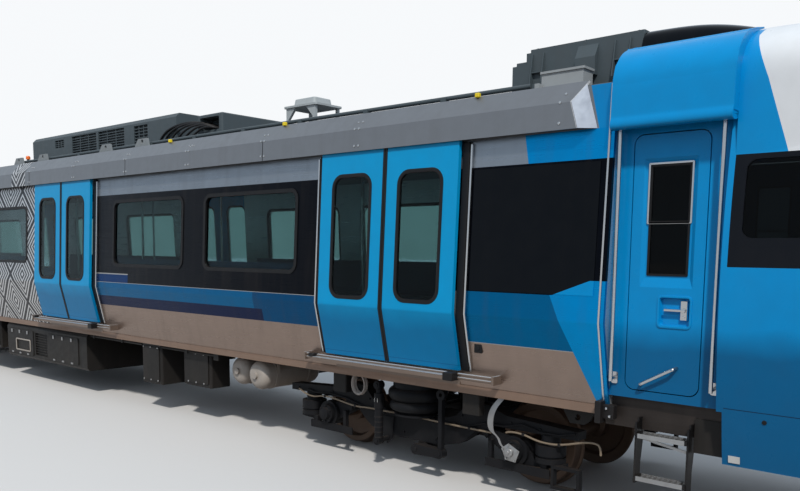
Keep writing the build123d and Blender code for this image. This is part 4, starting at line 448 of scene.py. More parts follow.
def new_finish(name):
    """A new material, kept by its name, with its tree and its shader."""
    FINISHES[name] = bpy.data.materials.new(name)
    FINISHES[name].use_nodes = True
    tree = FINISHES[name].node_tree
    return tree, tree.nodes["Principled BSDF"]


def finish(name, colour, rough=0.4, metal=0.0, dust=(1.2, 0.4, 0.3), streak=0.3, coat=0.0,
           grain=None, dented=0.0, second=(), shine=0.35):
    """A finish of one base colour; each (mask builder, colour) in second lays another colour on it."""
    tree, shader = new_finish(name)
    shader.inputs["Coat Weight"].default_value = coat
    shader.inputs["Coat Roughness"].default_value = COAT_ROUGHNESS
    shader.inputs["Specular IOR Level"].default_value = shine
    where, axes = place_axes(tree)
    base = colour
    for builder, other in second:
        base = mix_colour(tree, builder(tree, axes), base, other)
    shift = fit_range(tree, noise(tree, where, 7.0, 5.0), 0.25, 0.75)
    darker = mix_colour(tree, times(tree, shift, SPECKLE), base, SPECK_COLOUR)
    streaks = use_group(tree, "streaks", Amount=streak)
    streaked = mix_colour(tree, streaks["Mask"], darker, tuple(0.6 * c for c in DUST_COLOUR))
    cover = use_group(tree, "dust", Top=dust[0], Amount=dust[1], Lying=dust[2])["Mask"]
    tree.links.new(mix_colour(tree, cover, streaked, DUST_COLOUR), shader.inputs["Base Color"])
    if grain:
        given = use_group(tree, "grain", Scale=grain)
        height = given["Height"]
        roughness = fit_range(tree, given["Grain"], 0.0, 1.0, rough * 0.75, rough * 1.3)
    else:
        height = noise(tree, where, 90.0, 2.0)
        roughness = fit_range(tree, noise(tree, where, 14.0, 3.0), 0.2, 0.8, rough * 0.85, rough * 1.15)
    if dented:
        waves = times(tree, noise(tree, where, 1.6, 2.0), dented)
        height = sum_up(tree, "ADD", times(tree, height, 0.02), waves)
    rougher = sum_up(tree, "MAXIMUM", roughness, times(tree, cover, 0.85), clamp=True)
    tree.links.new(rougher, shader.inputs["Roughness"])
    clean = sum_up(tree, "SUBTRACT", 1.0, cover, clamp=True)
    tree.links.new(times(tree, clean, metal), shader.inputs["Metallic"])
    bump(tree, height, BUMP, DENT_BUMP if dented else FINE_BUMP, shader)


def glass(name, colour):
    """Tinted safety glass with a faint film of dirt."""
    tree, shader = new_finish(name)
    shader.inputs["Transmission Weight"].default_value = 1.0
    shader.inputs["IOR"].default_value = GLASS_IOR
    where, _ = place_axes(tree)
    film = fit_range(tree, noise(tree, where, 2.5, 5.0), 0.35, 0.85, 0.0, 0.25)
    tree.links.new(mix_colour(tree, film, colour, tuple(0.7 * c for c in colour)), shader.inputs["Base Color"])
    smears = fit_range(tree, noise(tree, where, 5.0, 4.0), 0.3, 0.8, GLASS_ROUGH, GLASS_ROUGH + 0.05)
    tree.links.new(smears, shader.inputs["Roughness"])


print("helpers for finishes ready")

# %% [markdown]
# ### The livery
# The stainless body side carries a black window band, blue stripes, and a blue field that runs up to the cab
# behind two slanted edges. Nothing is an image: each field is a rectangle or a half plane
# in the car's own x and z, drawn with a few comparison nodes, and the mirror side gets the same by using x and z alone.

# %% Fields of the livery
STEEL = (0.40, 0.385, 0.37)
# Steel below the stripes is darker and browner: painted shade with a painted reflection of the ground.
LOW_STEEL_PAINTED_REFLECTION = (0.30, 0.225, 0.185)
# Steel above the window band is darker and bluer: painted shade under the hood.
HIGH_STEEL_PAINTED_SHADE = (0.25, 0.28, 0.315)
SKY_BLUE = (0.0, 0.255, 0.59)
BLACK = (0.002, 0.003, 0.006)
NAVY = (0.006, 0.014, 0.055)
ROYAL = (0.0, 0.035, 0.14)
STRIPE_BLUE = (0.0, 0.115, 0.27)
STRIPE_DEEP = (0.0, 0.065, 0.17)
REAR_X, CAB_X = -11.0, 7.9
STRIPE_FOOT = 1.371
BAND_LOW, BAND_HIGH = 1.816, 2.869
STRIPES = [
    # low z, high z, rear x, front x, colour
    (STRIPE_FOOT, 1.688, 0.12, 4.80, STRIPE_BLUE),
    (STRIPE_FOOT, 1.688, 3.65, 4.80, STRIPE_DEEP),
    (STRIPE_FOOT, 1.504, 0.12, 3.785, NAVY),
    (STRIPE_FOOT, 1.504, 3.785, 4.80, STRIPE_DEEP),
    (1.694, BAND_LOW, 1.007, 4.80, BLACK),
    (1.694, 1.801, 0.12, 1.007, ROYAL),
    (1.376, 1.819, 6.50, 8.0, STRIPE_BLUE)]
for rear_x, front_x in ((-6.27, -1.60), (-10.9, -7.99)):
    STRIPES += [(STRIPE_FOOT, 1.688, rear_x, front_x, STRIPE_BLUE), (STRIPE_FOOT, 1.504, rear_x, front_x, NAVY),
                (1.694, BAND_LOW, rear_x, front_x, BLACK)]


def between(tree, value, low, high):
    """1 where a coordinate lies between two numbers."""
    return times(tree, sum_up(tree, "GREATER_THAN", value, low), sum_up(tree, "LESS_THAN", value, high))


def field(low_z, high_z, rear_x, front_x):
    """A builder for a rectangle on the body side."""
    def build(tree, axes):
        return times(tree, between(tree, axes[2], up(low_z), up(high_z)), between(tree, axes[0], rear_x, front_x))
    return build


def ahead_of(x_low, z_low, x_high, z_high, low=0.0, high=9.0):
    """A builder for all that lies ahead of a slanted line, between two heights."""
    slope = (x_high - x_low) / (z_high - z_low)

    def build(tree, axes):
        line = sum_up(tree, "MULTIPLY_ADD", axes[2], slope, x_low - slope * up(z_low))
        return times(tree, sum_up(tree, "GREATER_THAN", axes[0], line), between(tree, axes[2], up(low), up(high)))
    return build


BLUE_CORNER = (ahead_of(7.425, 1.815, 7.750, 1.937, 1.815, 1.943), SKY_BLUE)
# The two steel fields below are painted shade: darker brown steel low down and darker blue steel under the hood.
LIVERY = [(field(0.0, STRIPE_FOOT, REAR_X, CAB_X), LOW_STEEL_PAINTED_REFLECTION), (field(BAND_HIGH, 4.0, REAR_X, CAB_X), HIGH_STEEL_PAINTED_SHADE),
          (field(BAND_LOW, BAND_HIGH, -10.9, CAB_X), BLACK)]
LIVERY += [(field(*row[:4]), row[4]) for row in STRIPES]
LIVERY += [(ahead_of(7.416, 1.819, 7.784, 1.015, 0.9635, 1.819), SKY_BLUE),
           (ahead_of(7.111, 3.104, 7.157, 2.863, BAND_HIGH, 9.0), SKY_BLUE), BLUE_CORNER]
print("livery fields", len(LIVERY))

# %% Artwork on the side
ART_FIELD = (0.97, 3.50, -4.35, -1.60)
HOOD_ART_FIELD = (3.05, 3.60, -2.36, -1.88)
ART_COLOURS = ((0.62, 0.62, 0.62), (0.03, 0.03, 0.035))
SQUARE_CELL = 0.62
SQUARE_TILT = 0.7071
BARS_IN_CELL = 10.0


def nested_squares(tree, axes):
    """1 in the dark bars of a field of nested squares set on their corners, in staggered rows."""
    away = []
    for operation in ("ADD", "SUBTRACT"):
        tilted = times(tree, sum_up(tree, operation, axes[0], axes[2]), SQUARE_TILT / SQUARE_CELL)
        away.append(sum_up(tree, "ABSOLUTE", sum_up(tree, "SUBTRACT", sum_up(tree, "FRACT", tilted), 0.5)))
    ring = sum_up(tree, "FRACT", times(tree, sum_up(tree, "MAXIMUM", *away), BARS_IN_CELL))
    return sum_up(tree, "GREATER_THAN", ring, 0.5)


def art_on(limits):
    """The light ground and the dark bars of the artwork, kept inside one rectangle."""
    def bars(tree, axes):
        return times(tree, field(*limits)(tree, axes), nested_squares(tree, axes))
    return [(field(*limits), ART_COLOURS[0]), (bars, ART_COLOURS[1])]


print("artwork cell", SQUARE_CELL)

# %% Masks of the body
UPPER_LEAN = 0.048  # how far the wall leans in, per metre above the waist
LOWER_LEAN = 0.225  # and per metre below it
WALL_HALF = 1.400
WALL_THICK = 0.030
WAIST = up(1.620)
NOSE_X = 11.3
NOSE = [ahead_of(9.126, 2.809, 8.969, 3.308, 2.70, 3.308), ahead_of(8.969, 3.308, 8.836, 3.641, 3.308, 3.641),
        field(3.641, 3.700, 8.840, NOSE_X), field(3.700, 4.0, 8.785, NOSE_X)]
CAB_MASK = field(2.070, 2.826, 8.792, NOSE_X)
CAB_SEAM = field(1.083, 1.089, 8.80, NOSE_X)
CAB_BEAM = ahead_of(7.80, 0.0, 7.80, 1.2, -1.0, 1.3)
DOOR_SEAM = field(1.152, 1.157, -9, 9)


def wall_depth(tree, axes):
    """How far a point lies from the middle of the car, carried along the leaning wall to the waist."""
    above = times(tree, sum_up(tree, "SUBTRACT", axes[2], WAIST), UPPER_LEAN)
    below = times(tree, sum_up(tree, "SUBTRACT", WAIST, axes[2]), LOWER_LEAN)
    return sum_up(tree, "ADD", sum_up(tree, "ABSOLUTE", axes[1]), sum_up(tree, "MAXIMUM", above, below))


def inside_wall(tree, axes):
    """1 on the saloon face of the side walls."""
    return sum_up(tree, "LESS_THAN", wall_depth(tree, axes), WALL_HALF - WALL_THICK)


def cantrail_blue(tree, axes):
    """The cab's blue on the cantrail: below the hood, and ahead of the slant in which the hood ends."""
    ahead_of_hood = ahead_of(7.765, 3.098, 7.675, 3.440)(tree, axes)
    below_hood = field(0.0, 3.095, 7.11, NOSE_X)(tree, axes)
    on_wall = sum_up(tree, "LESS_THAN", wall_depth(tree, axes), WALL_HALF + 0.010)
    return times(tree, on_wall, sum_up(tree, "MAXIMUM", ahead_of_hood, below_hood))


def cab_front(tree, axes):
    """The white nose of the cab, ahead of a border that bends back over the roof edge."""
    masks = [part(tree, axes) for part in NOSE]
    return sum_up(tree, "ADD", sum_up(tree, "ADD", masks[0], masks[1]), sum_up(tree, "ADD", masks[2], masks[3]))


def sides_in_painted_shade(tree, axes):
    """1 on faces that look sideways or down, 0 on those that look up; the sides get painted shade."""
    return sum_up(tree, "LESS_THAN", upward(tree), 0.6)


def roof_edge(inner, outer, *limits):
    """A builder for what stands along both edges of the roof."""
    def build(tree, axes):
        strip = between(tree, sum_up(tree, "ABSOLUTE", axes[1]), inner, outer)
        return times(tree, strip, field(*limits)(tree, axes))
    return build


EDGE_BOX = roof_edge(0.975, 1.20, 3.30, 3.66, 7.10, 7.53)
LIFT_BRACKETS = roof_edge(1.198, 1.250, 3.468, 3.66, -2.80, 1.40)


def painted_low_shade(tree, axes):
    """Painted shade that darkens the lower paint of the cab and doors towards the bottom, with an uneven upper edge."""
    wave = noise(tree, place_axes(tree)[0], 2.2, 3.0)
    height = sum_up(tree, "MULTIPLY_ADD", wave, 0.16, axes[2])
    return fit_range(tree, height, up(1.73), up(1.52), 0.0, 0.80)


def step_sides(tree, axes):
    """The black stringers of the cab steps, on both sides of their bright treads."""
    return sum_up(tree, "SUBTRACT", 1.0, between(tree, axes[0], 8.165, 8.526))


print("masks ready")

# %% [markdown]
# ### A finish for every surface
# A row gives a finish its colour, roughness and metal, how high and how thick its dust lies, and its streaks.
# The table after it says which nodes of the frame wear which finish.

# %% Finishes of the car
PLASTIC = (0.55, 0.57, 0.58)
# The next colour is painted shade: the darker blue laid low on the cab's paint.
LOW_BLUE_PAINTED_SHADE = (0.0, 0.078, 0.195)
BARE_STEEL = (0.36, 0.36, 0.36)
finish("body_side", STEEL, 0.33, 0.80, (1.3, 0.45, 0.2), 0.3, grain=70.0, shine=0.15,
       second=LIVERY + art_on(ART_FIELD) + [(inside_wall, PLASTIC)])
finish("hood_grey", (0.20, 0.21, 0.225), 0.36, 0.55, (0.5, 0.1, 0.25), 0.25, shine=0.3,
       second=[(cantrail_blue, SKY_BLUE)] + art_on(HOOD_ART_FIELD))
finish("sole_steel", (0.25, 0.165, 0.12), 0.5, 0.4, (1.15, 0.45, 0.4), 0.3, grain=40.0,
       second=[(CAB_BEAM, (0.022, 0.017, 0.015))])
# cab_blue, portal_blue and door_blue each lay painted shade, a darker blue, over their lower paint.
finish("cab_blue", SKY_BLUE, 0.3, 0.0, (1.3, 0.08, 0.05), 0.04, coat=0.08, dented=0.02,
       second=[(cab_front, (0.70, 0.72, 0.74)), (painted_low_shade, LOW_BLUE_PAINTED_SHADE), (CAB_MASK, BLACK),
               (CAB_SEAM, (0.0, 0.02, 0.06))],
       shine=0.13)
finish("portal_blue", SKY_BLUE, 0.3, 0.0, (1.3, 0.06, 0.05), 0.04, coat=0.08, dented=0.01,
       second=[(painted_low_shade, LOW_BLUE_PAINTED_SHADE)], shine=0.13)
finish("door_blue", (0.0, 0.295, 0.60), 0.32, 0.0, (1.3, 0.08, 0.05), 0.05, coat=0.06,
       second=[(painted_low_shade, (0.0, 0.155, 0.36)), (DOOR_SEAM, (0.0, 0.10, 0.25))],
       shine=0.13)
finish("gloss_black", (0.002, 0.003, 0.005), 0.10, 0.0, (1.3, 0.04, 0.1), 0.05, shine=0.10,
       second=[BLUE_CORNER])
finish("bellows_black", (0.012, 0.012, 0.013), 0.7, 0.0, (1.6, 0.3, 0.3), 0.3, shine=0.2)
finish("roof_grey", (0.060, 0.078, 0.088), 0.6, 0.0, (0.5, 0.1, 0.25), 0.25, shine=0.3,
       second=[(EDGE_BOX, (0.30, 0.32, 0.33)), (LIFT_BRACKETS, (0.21, 0.23, 0.24))])
finish("rubber", (0.007, 0.007, 0.008), 0.5, 0.0, (1.2, 0.2, 0.15), 0.15, shine=0.2)
# The bogie paint is black, made darker still as painted shade under the car.
finish("bogie_grey", (0.006, 0.007, 0.009), 0.55, 0.0, (1.2, 0.06, 0.2), 0.1, shine=0.12)
finish("case_grey", (0.014, 0.0135, 0.013), 0.5, 0.0, (1.2, 0.12, 0.2), 0.2, shine=0.15)
finish("wheel_steel", (0.10, 0.062, 0.042), 0.55, 0.5, (1.0, 0.25, 0.2), 0.3)
# The tanks' white is darkened to a beige grey as painted shade under the floor.
finish("tank_white", (0.40, 0.36, 0.32), 0.45, 0.0, (1.2, 0.5, 0.3), 0.4)
# The sills keep bright steel on top and take a darker brown on their sides: painted shade.
finish("tread_steel", (0.52, 0.55, 0.58), 0.4, 0.5, (1.0, 0.1, 0.1), 0.2,
       second=[(sides_in_painted_shade, (0.20, 0.15, 0.12))])
finish("brake_pipe", (0.26, 0.20, 0.14), 0.45, 0.3, (1.0, 0.2, 0.1), 0.2)
finish("pale_cable", (0.42, 0.38, 0.35), 0.6, 0.0, (1.0, 0.3, 0.1), 0.3)
finish("antenna_grey", (0.36, 0.39, 0.40), 0.5, 0.0, (0.5, 0.1, 0.25), 0.3)
finish("label_white", (0.60, 0.60, 0.58), 0.5, 0.0, (1.2, 0.2, 0.1), 0.2)
finish("bright_steel", (0.52, 0.52, 0.52), 0.24, 1.0, (1.2, 0.15, 0.1), 0.12)
finish("step_steel", BARE_STEEL, 0.42, 0.8, (1.0, 0.3, 0.25), 0.3,
       second=[(step_sides, (0.014, 0.015, 0.017))])
finish("hood_end", (0.24, 0.27, 0.32), 0.5, 0.5, (1.0, 0.1, 0.1), 0.2)
finish("fitting_steel", BARE_STEEL, 0.42, 0.8, (1.0, 0.3, 0.25), 0.3)
finish("plastic", PLASTIC, 0.45, 0.0, (1.4, 0.1, 0.1), 0.1)
finish("seat_blue", (0.02, 0.035, 0.09), 0.5, 0.0, (1.0, 0.1, 0.1), 0.1)
finish("ceiling_white", (0.66, 0.66, 0.64), 0.5, 0.0, (1.0, 0.0, 0.1), 0.1)
glass("pane", (0.34, 0.49, 0.51))
glass("door_pane", (0.31, 0.46, 0.48))
glass("dark_pane", (0.05, 0.065, 0.075))
glass("lamp_glass", (0.85, 0.9, 0.92))
finish("marker_yellow", (0.80, 0.60, 0.02), 0.5, 0.0, (0.5, 0.1, 0.2), 0.2)
finish("tail_red", (0.42, 0.012, 0.010), 0.2, 0.0, (1.2, 0.1, 0.1), 0.1)
finish("amber", (0.85, 0.16, 0.01), 0.25, 0.0, (0.5, 0.1, 0.2), 0.1, coat=0.5)
print("finishes", len(FINISHES))

# %% Dress the frame
WEARS = {
    "body_side": ["side_walls", "rear_end_wall", "cab_bulkhead"],
    "hood_grey": ["cantrails"],
    "sole_steel": ["underframe"],
    "cab_blue": ["cab_shell", "cab_skirt"],
    "portal_blue": ["cab_portal", "cab_door_right", "cab_door_left"],
    "door_blue": [n for n in NODES if n.startswith("door_") and n != "door_sills"],
    "roof_grey": ["roof_shell", "roof_unit_rear", "roof_box", "roof_unit_front", "roof_duct"],
    "gloss_black": ["cab_roof_fairing", "end_panels"],
    "rubber": ["window_rubbers"],
    "bellows_black": ["gangway"],
    "bogie_grey": [n for n in NODES
                   if n.endswith(("bogie_frame", "bogie_gear", "air_springs", "axleboxes", "coupler"))],
    "case_grey": ["converter_case", "equipment_boxes", "underfloor_fittings"],
    "wheel_steel": [n for n in NODES if n.startswith("wheelset")],
    "tank_white": ["air_tanks"],
    "bright_steel": ["cab_grab_rails", "grab_poles"],
    "tread_steel": ["door_sills"],
    "antenna_grey": ["antenna_stand"],
    "step_steel": ["cab_steps"],
    "plastic": ["drivers_place"],
    "seat_blue": ["saloon_seats"],
    "ceiling_white": ["saloon_ceiling"],
    "pane": ["window_panes"],
    "dark_pane": ["cab_glazing"],
    "lamp_glass": ["headlamps"],
}
dressed = set()
for finish_name, node_names in WEARS.items():
    for node_name in node_names:
        NODES[node_name].data.materials.clear()
        NODES[node_name].data.materials.append(FINISHES[finish_name])
        dressed.add(node_name)
print("dressed", len(dressed), "left", sorted(set(NODES) - dressed))

# %% [markdown]
# ## Shaping the small pieces
# Each new piece starts as a primitive and is shaped in edit mode: a plane becomes a rounded ring by a corner
# bevel and an inset, a box is cut at the waist and leaned to follow the wall. A finished piece rides on the body
# that carries it, and names the slot that its finish belongs to. What repeats is shaped once and copied.

# %% Finishing and copying
import bmesh

MIRROR = Matrix.Scale(-1, 4, (0, 1, 0))
STAY = Matrix.Identity(4)
TURN_ROUND = Matrix.Scale(-1, 4, (1, 0, 0))
SLOT_OF = {
    "rubber": "black_rubber", "pale_cable": "black_rubber", "door_pane": "tinted_glass", "dark_pane": "tinted_glass",
    "amber": "lamp_glass", "tail_red": "lamp_glass", "bright_steel": "bright_steel", "hood_end": "bright_steel",
    "fitting_steel": "step_steel", "cab_blue": "cab_blue", "portal_blue": "cab_blue", "gloss_black": "black_panel",
    "marker_yellow": "hood_paint", "roof_grey": "roof_grey", "bogie_grey": "bogie_paint",
    "brake_pipe": "bogie_paint", "case_grey": "underfloor_paint", "tank_white": "tank_white",
    "label_white": "white_plastic"}


def apply_place():
    """Put the active piece's place, turn and size into its mesh, so its object sits at the origin."""
    bpy.ops.object.transform_apply(location=True, rotation=True, scale=True)


def settle(piece, name, wears, body="car_body", slot=None, smooth=30):
    """Place, name and dress a finished piece, and tie it to its body, if it has one."""
    deselect()
    piece.select_set(True)
    bpy.context.view_layer.objects.active = piece
    apply_place()
    bpy.ops.object.shade_smooth_by_angle(angle=math.radians(smooth))
    deselect()
    piece.name = piece.data.name = name
    piece.data.materials.clear()
    piece.data.materials.append(FINISHES[wears])
    if body:
        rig.ride(piece, body)
    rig.slot(piece, slot or SLOT_OF[wears])
    return piece


def twin(piece, name, matrix, body="car_body"):
    """A copy with its own mesh, moved or mirrored."""
    copy = piece.copy()
    copy.data = piece.data.copy()
    bpy.context.collection.objects.link(copy)
    copy.data.transform(matrix)
    if matrix.determinant() < 0:
        copy.data.flip_normals()
    copy.name = copy.data.name = name
    if body:
        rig.ride(copy, body)
    return copy


def both_sides(piece, body="car_body"):
    """The same piece on the left-hand side of the car."""
    return piece, twin(piece, piece.name + "_left", MIRROR, body)


def join(pieces):
    """Several solids of one kind as one piece."""
    deselect()
    for piece in pieces:
        piece.select_set(True)
    bpy.context.view_layer.objects.active = pieces[0]
    bpy.ops.object.join()
    return bpy.context.object


def pair(solids, name, wears, body="car_body", slot=None):
    """A finished piece of one solid, or of several in a list, and its twin on the left-hand side."""
    piece = join(solids) if isinstance(solids, list) else solids
    return both_sides(settle(piece, name, wears, body, slot), body)


def shift(piece, *way):
    """Move a piece in its mesh, and leave its object at the origin."""
    piece.data.transform(Matrix.Translation(way))
    return piece


def flip_over(piece):
    """Turn a right-hand piece into the left-hand one."""
    piece.data.transform(MIRROR)
    piece.data.flip_normals()


print("slots", len(set(SLOT_OF.values())))

# %% Shaping helpers
NEAR = 1e-4
SHARP = math.radians(50)


def out_at(z, stand_off=0.0):
    """Half width of the body side at a height."""
    lean = UPPER_LEAN * (z - WAIST) if z > WAIST else LOWER_LEAN * (WAIST - z)
    return WALL_HALF - lean + stand_off


def edit(mode="VERT"):
    """Go into edit mode with all of the active piece selected."""
    bpy.ops.object.mode_set(mode="EDIT")
    bpy.ops.mesh.select_mode(type=mode)
    bpy.ops.mesh.select_all(action="SELECT")


def leave():
    """Back to object mode."""
    bpy.ops.object.mode_set(mode="OBJECT")


def pick(test, faces=False):
    """In edit mode, select the vertices or faces whose middle passes the test."""
    mesh = bmesh.from_edit_mesh(bpy.context.object.data)
    for item in list(mesh.verts) + list(mesh.edges) + list(mesh.faces):
        item.select_set(False)
    mesh.select_mode = {"FACE"} if faces else {"VERT"}
    for item in mesh.faces if faces else mesh.verts:
        where = item.calc_center_median() if faces else item.co
        item.select_set(bool(test(where)))
    mesh.select_flush_mode()
    bmesh.update_edit_mesh(bpy.context.object.data)


def modify(piece, kind, **values):
    """Add a modifier and apply it."""
    step = piece.modifiers.new(kind.lower(), kind)
    for label, value in values.items():
        setattr(step, label, value)
    bpy.context.view_layer.objects.active = piece
    bpy.ops.object.modifier_apply(modifier=step.name)


def ease_edges(piece, width, segments):
    """Bevel the sharp edges of a piece."""
    modify(piece, "BEVEL", width=width, segments=segments, limit_method="ANGLE", angle_limit=SHARP)


def box(low, high, round_off=0.0, steps=1):
    """A box between two corners with eased edges."""
    deselect()
    centre = [(a + b) / 2 for a, b in zip(low, high)]
    size = [b - a for a, b in zip(low, high)]
    bpy.ops.mesh.primitive_cube_add(size=1, location=centre, scale=size)
    apply_place()
    if round_off:
        edit("EDGE")
        bpy.ops.mesh.bevel(offset=round_off, segments=steps, affect="EDGES")
        leave()
    return bpy.context.object


def rounded_plate(width, height, corner, x, z, border=0.0):
    """A plate with round corners that stands in the x-z plane at y = 0; with a border it is a ring."""
    deselect()
    bpy.ops.mesh.primitive_plane_add(size=1, location=(x, 0, z), rotation=(math.pi / 2, 0, 0))
    plate = bpy.context.object
    plate.scale = (width, height, 1)
    apply_place()
    edit()
    bpy.ops.mesh.bevel(offset=corner, segments=6, affect="VERTICES")
    if border:
        bpy.ops.mesh.select_all(action="SELECT")
        bpy.ops.mesh.inset(thickness=border, depth=0)
        bpy.ops.mesh.delete(type="FACE")
    leave()
    return plate


def flat_plate(corners, thick):
    """A flat plate with its corners at the given points, in order round its edge."""
    deselect()
    bpy.ops.mesh.primitive_circle_add(vertices=len(corners), radius=0.1, fill_type="NGON")
    plate = bpy.context.object
    for vertex, corner in zip(plate.data.vertices, corners):
        vertex.co = corner
    modify(plate, "SOLIDIFY", thickness=thick, offset=0.0)
    return plate


def thicken(piece, outward, inward, ease=0.0):
    """Give a flat piece its thickness, from outward of y = 0 to inward of it, and ease its edges."""
    modify(piece, "SOLIDIFY", thickness=outward + inward, offset=0.0)
    shift(piece, 0, (inward - outward) / 2, 0)
    if ease:
        ease_edges(piece, ease, 2)
    return piece


def lean_on_wall(piece, stand_off=0.0):
    """Turn a flat piece about the waist line until it lies on the upper wall."""
    tilt = Matrix.Rotation(-math.atan(UPPER_LEAN), 4, "X")
    to_waist = Matrix.Translation((0, 0, -WAIST))
    home = Matrix.Translation((0, -(WALL_HALF + stand_off), WAIST))
    piece.data.transform(home @ tilt @ to_waist)
    return piece


def bent_strip(rear_x, front_x, low_z, high_z, inner, outer, ease=0.0):
    """A strip that follows the wall: a box cut at the waist whose ends are leaned inward."""
    strip = box((rear_x, -(WALL_HALF + outer), low_z), (front_x, -(WALL_HALF + inner), high_z))
    edit()
    if low_z < WAIST < high_z:
        bpy.ops.mesh.bisect(plane_co=(0, 0, WAIST), plane_no=(0, 0, 1))
    for end_z in (low_z, high_z):
        pick(lambda v: abs(v.z - end_z) < NEAR)
        bpy.ops.transform.translate(value=(0, WALL_HALF - out_at(end_z), 0))
    leave()
    if ease:
        ease_edges(strip, ease, 1)
    return strip


print("helpers ready")

# %% [markdown]
# ### Panes and rubbers of the sliding doors
# Every leaf holds a tall safety-glass pane in a black rubber with round corners, and a rubber edge on its meeting
# side. The pane is a plate and the rubber a ring with the same corners, both leaned on the wall.
# Twelve leaves share three shapes: the copies only move along the car or to the mirror side.

# %% Door leaf panes and rubbers
DOOR_X = {"front": 5.650, "middle": -0.740, "rear": -7.130}
LEAF_X = 0.428
LEAF_FACE = 0.076
LEAF_WINDOW_Z = up(2.290)
LEAF_LOW = up(1.108)
LEAF_HIGH = up(3.180)

ring = lean_on_wall(thicken(rounded_plate(0.538, 1.208, 0.134, LEAF_X, LEAF_WINDOW_Z, border=0.036),
                            0.004, 0.030, 0.003), LEAF_FACE)
leaf_pane = lean_on_wall(thicken(rounded_plate(0.474, 1.144, 0.105, LEAF_X, LEAF_WINDOW_Z), -0.008, 0.014), LEAF_FACE)
lip = bent_strip(0.002, 0.027, LEAF_LOW + 0.002, LEAF_HIGH, 0.040, LEAF_FACE + 0.005, 0.003)
patterns = {"rubber": settle(ring, "leaf_rubber", "rubber"), "pane": settle(leaf_pane, "leaf_pane", "door_pane"),
            "lip": settle(lip, "leaf_lip", "rubber")}
for door_name, door_x in DOOR_X.items():
    for leaf_name, turn_round in (("a", STAY), ("b", TURN_ROUND)):
        for side_name, flip in (("right", STAY), ("left", MIRROR)):
            body = f"door_{door_name}_{leaf_name}_{side_name}"
            place = Matrix.Translation((door_x, 0, 0)) @ turn_round @ flip
            for kind, pattern in patterns.items():
                copy = twin(pattern, f"{body}_{kind}", place, body)
                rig.slot(copy, "tinted_glass" if kind == "pane" else "black_rubber")
for pattern in patterns.values():
    bpy.data.objects.remove(pattern)
print("leaves", 4 * len(DOOR_X), "pieces on each", len(patterns))

# %% [markdown]
# ### Seals of the doorways
# On the wall beside each doorway stands a thick black seal that the leaf slides over, and next to it a bright
# folded strip of steel. Both are boxes bent at the waist, thinner than the gap between wall and leaf.
# Small rubber stops lie at the ends of the step below.

# %% Doorway seals, bright strips and stops
DOORWAY_STRIPS = (
    # name, finish, near and far edge from the doorway's middle, top, how far it stands out, eased edge
    ("doorway_seals", "rubber", 0.858, 0.930, 3.09, 0.030, 0.006),
    ("doorway_strips", "bright_steel", 0.940, 0.958, 3.07, 0.032, 0.005))
for name, wears, near, far, top, outer, ease in DOORWAY_STRIPS:
    pattern = settle(bent_strip(near, far, up(1.10), up(top), 0.0, outer, ease), "strip", wears)
    pair([twin(pattern, "strip", Matrix.Translation((door_x, 0, 0)) @ turn_round)
          for door_x in DOOR_X.values() for turn_round in (STAY, TURN_ROUND)], name, wears)
    bpy.data.objects.remove(pattern)
stops = []
for door_x in DOOR_X.values():
    stops.append(box((door_x + 0.750, -1.466, up(1.022)), (door_x + 0.856, -1.350, up(1.094)), 0.006))
    stops.append(box((door_x - 1.050, -1.430, up(1.060)), (door_x - 0.972, -1.350, up(1.096)), 0.006))
pair(stops, "tread_stops", "rubber")
print("seals at", list(DOOR_X))

# %% [markdown]
# ### The window of the cab door
# The fixed panes already have their rubbers from the CAD model. The cab door window is held by a bright
# frame in its upper half and a black one below, with a bar where the drop light ends.

# %% Cab door window
CAB_DOOR_X = 8.306
CAB_PANE_Z = up(2.400)
CAB_BAR_Z = up(2.385)
PANE_Y, RUBBER_Y, FRAME_Y = -1.222, -1.226, -1.236
CAB_DOORS = ("right", "left")
for word in CAB_DOORS:
    body = f"cab_door_{word}"
    pane = shift(thicken(rounded_plate(0.300, 0.804, 0.008, CAB_DOOR_X, CAB_PANE_Z), 0.003, 0.003), 0, PANE_Y, 0)
    lower = rounded_plate(0.312, 0.816, 0.010, CAB_DOOR_X, CAB_PANE_Z, border=0.016)
    shift(thicken(lower, 0.010, 0.014, 0.003), 0, RUBBER_Y, 0)
    upper = rounded_plate(0.338, 0.446, 0.010, CAB_DOOR_X, CAB_PANE_Z + 0.198, border=0.013)
    shift(thicken(upper, 0.006, 0.006, 0.003), 0, FRAME_Y, 0)
    bar = box((CAB_DOOR_X - 0.156, -1.242, CAB_BAR_Z - 0.011), (CAB_DOOR_X + 0.156, -1.224, CAB_BAR_Z + 0.011), 0.003)
    for piece, label, wears in ((pane, "window_pane", "dark_pane"), (lower, "window_rubber", "rubber"),
                                (upper, "window_frame", "bright_steel"), (bar, "window_bar", "rubber")):
        if word == "left":
            flip_over(piece)
        settle(piece, f"{body}_{label}", wears, body)
print("cab door windows at", CAB_DOOR_X)

# %% [markdown]
# ### Round pieces
# Bolts, caps and lamps start as a cylinder whose rims are bevelled. Pipes and fixed hoses start as a path whose
# points are moved into place, and a round section follows it. All three are helpers for what comes below.

# %% Round pieces
OUTWARD = (0, -1, 0)


def aim(axis):
    """The turn that brings the z axis to another axis."""
    return Vector(axis).to_track_quat("Z", "Y").to_matrix().to_4x4()


def pick_rims(ends):
    """In edit mode, select the edges of a cylinder's ends, or of its top end alone."""
    mesh = bmesh.from_edit_mesh(bpy.context.object.data)
    for line in mesh.edges:
        first, last = (v.co.z for v in line.verts)
        line.select_set(abs(first - last) < NEAR and (ends == "both" or first > 0))
    bmesh.update_edit_mesh(bpy.context.object.data)


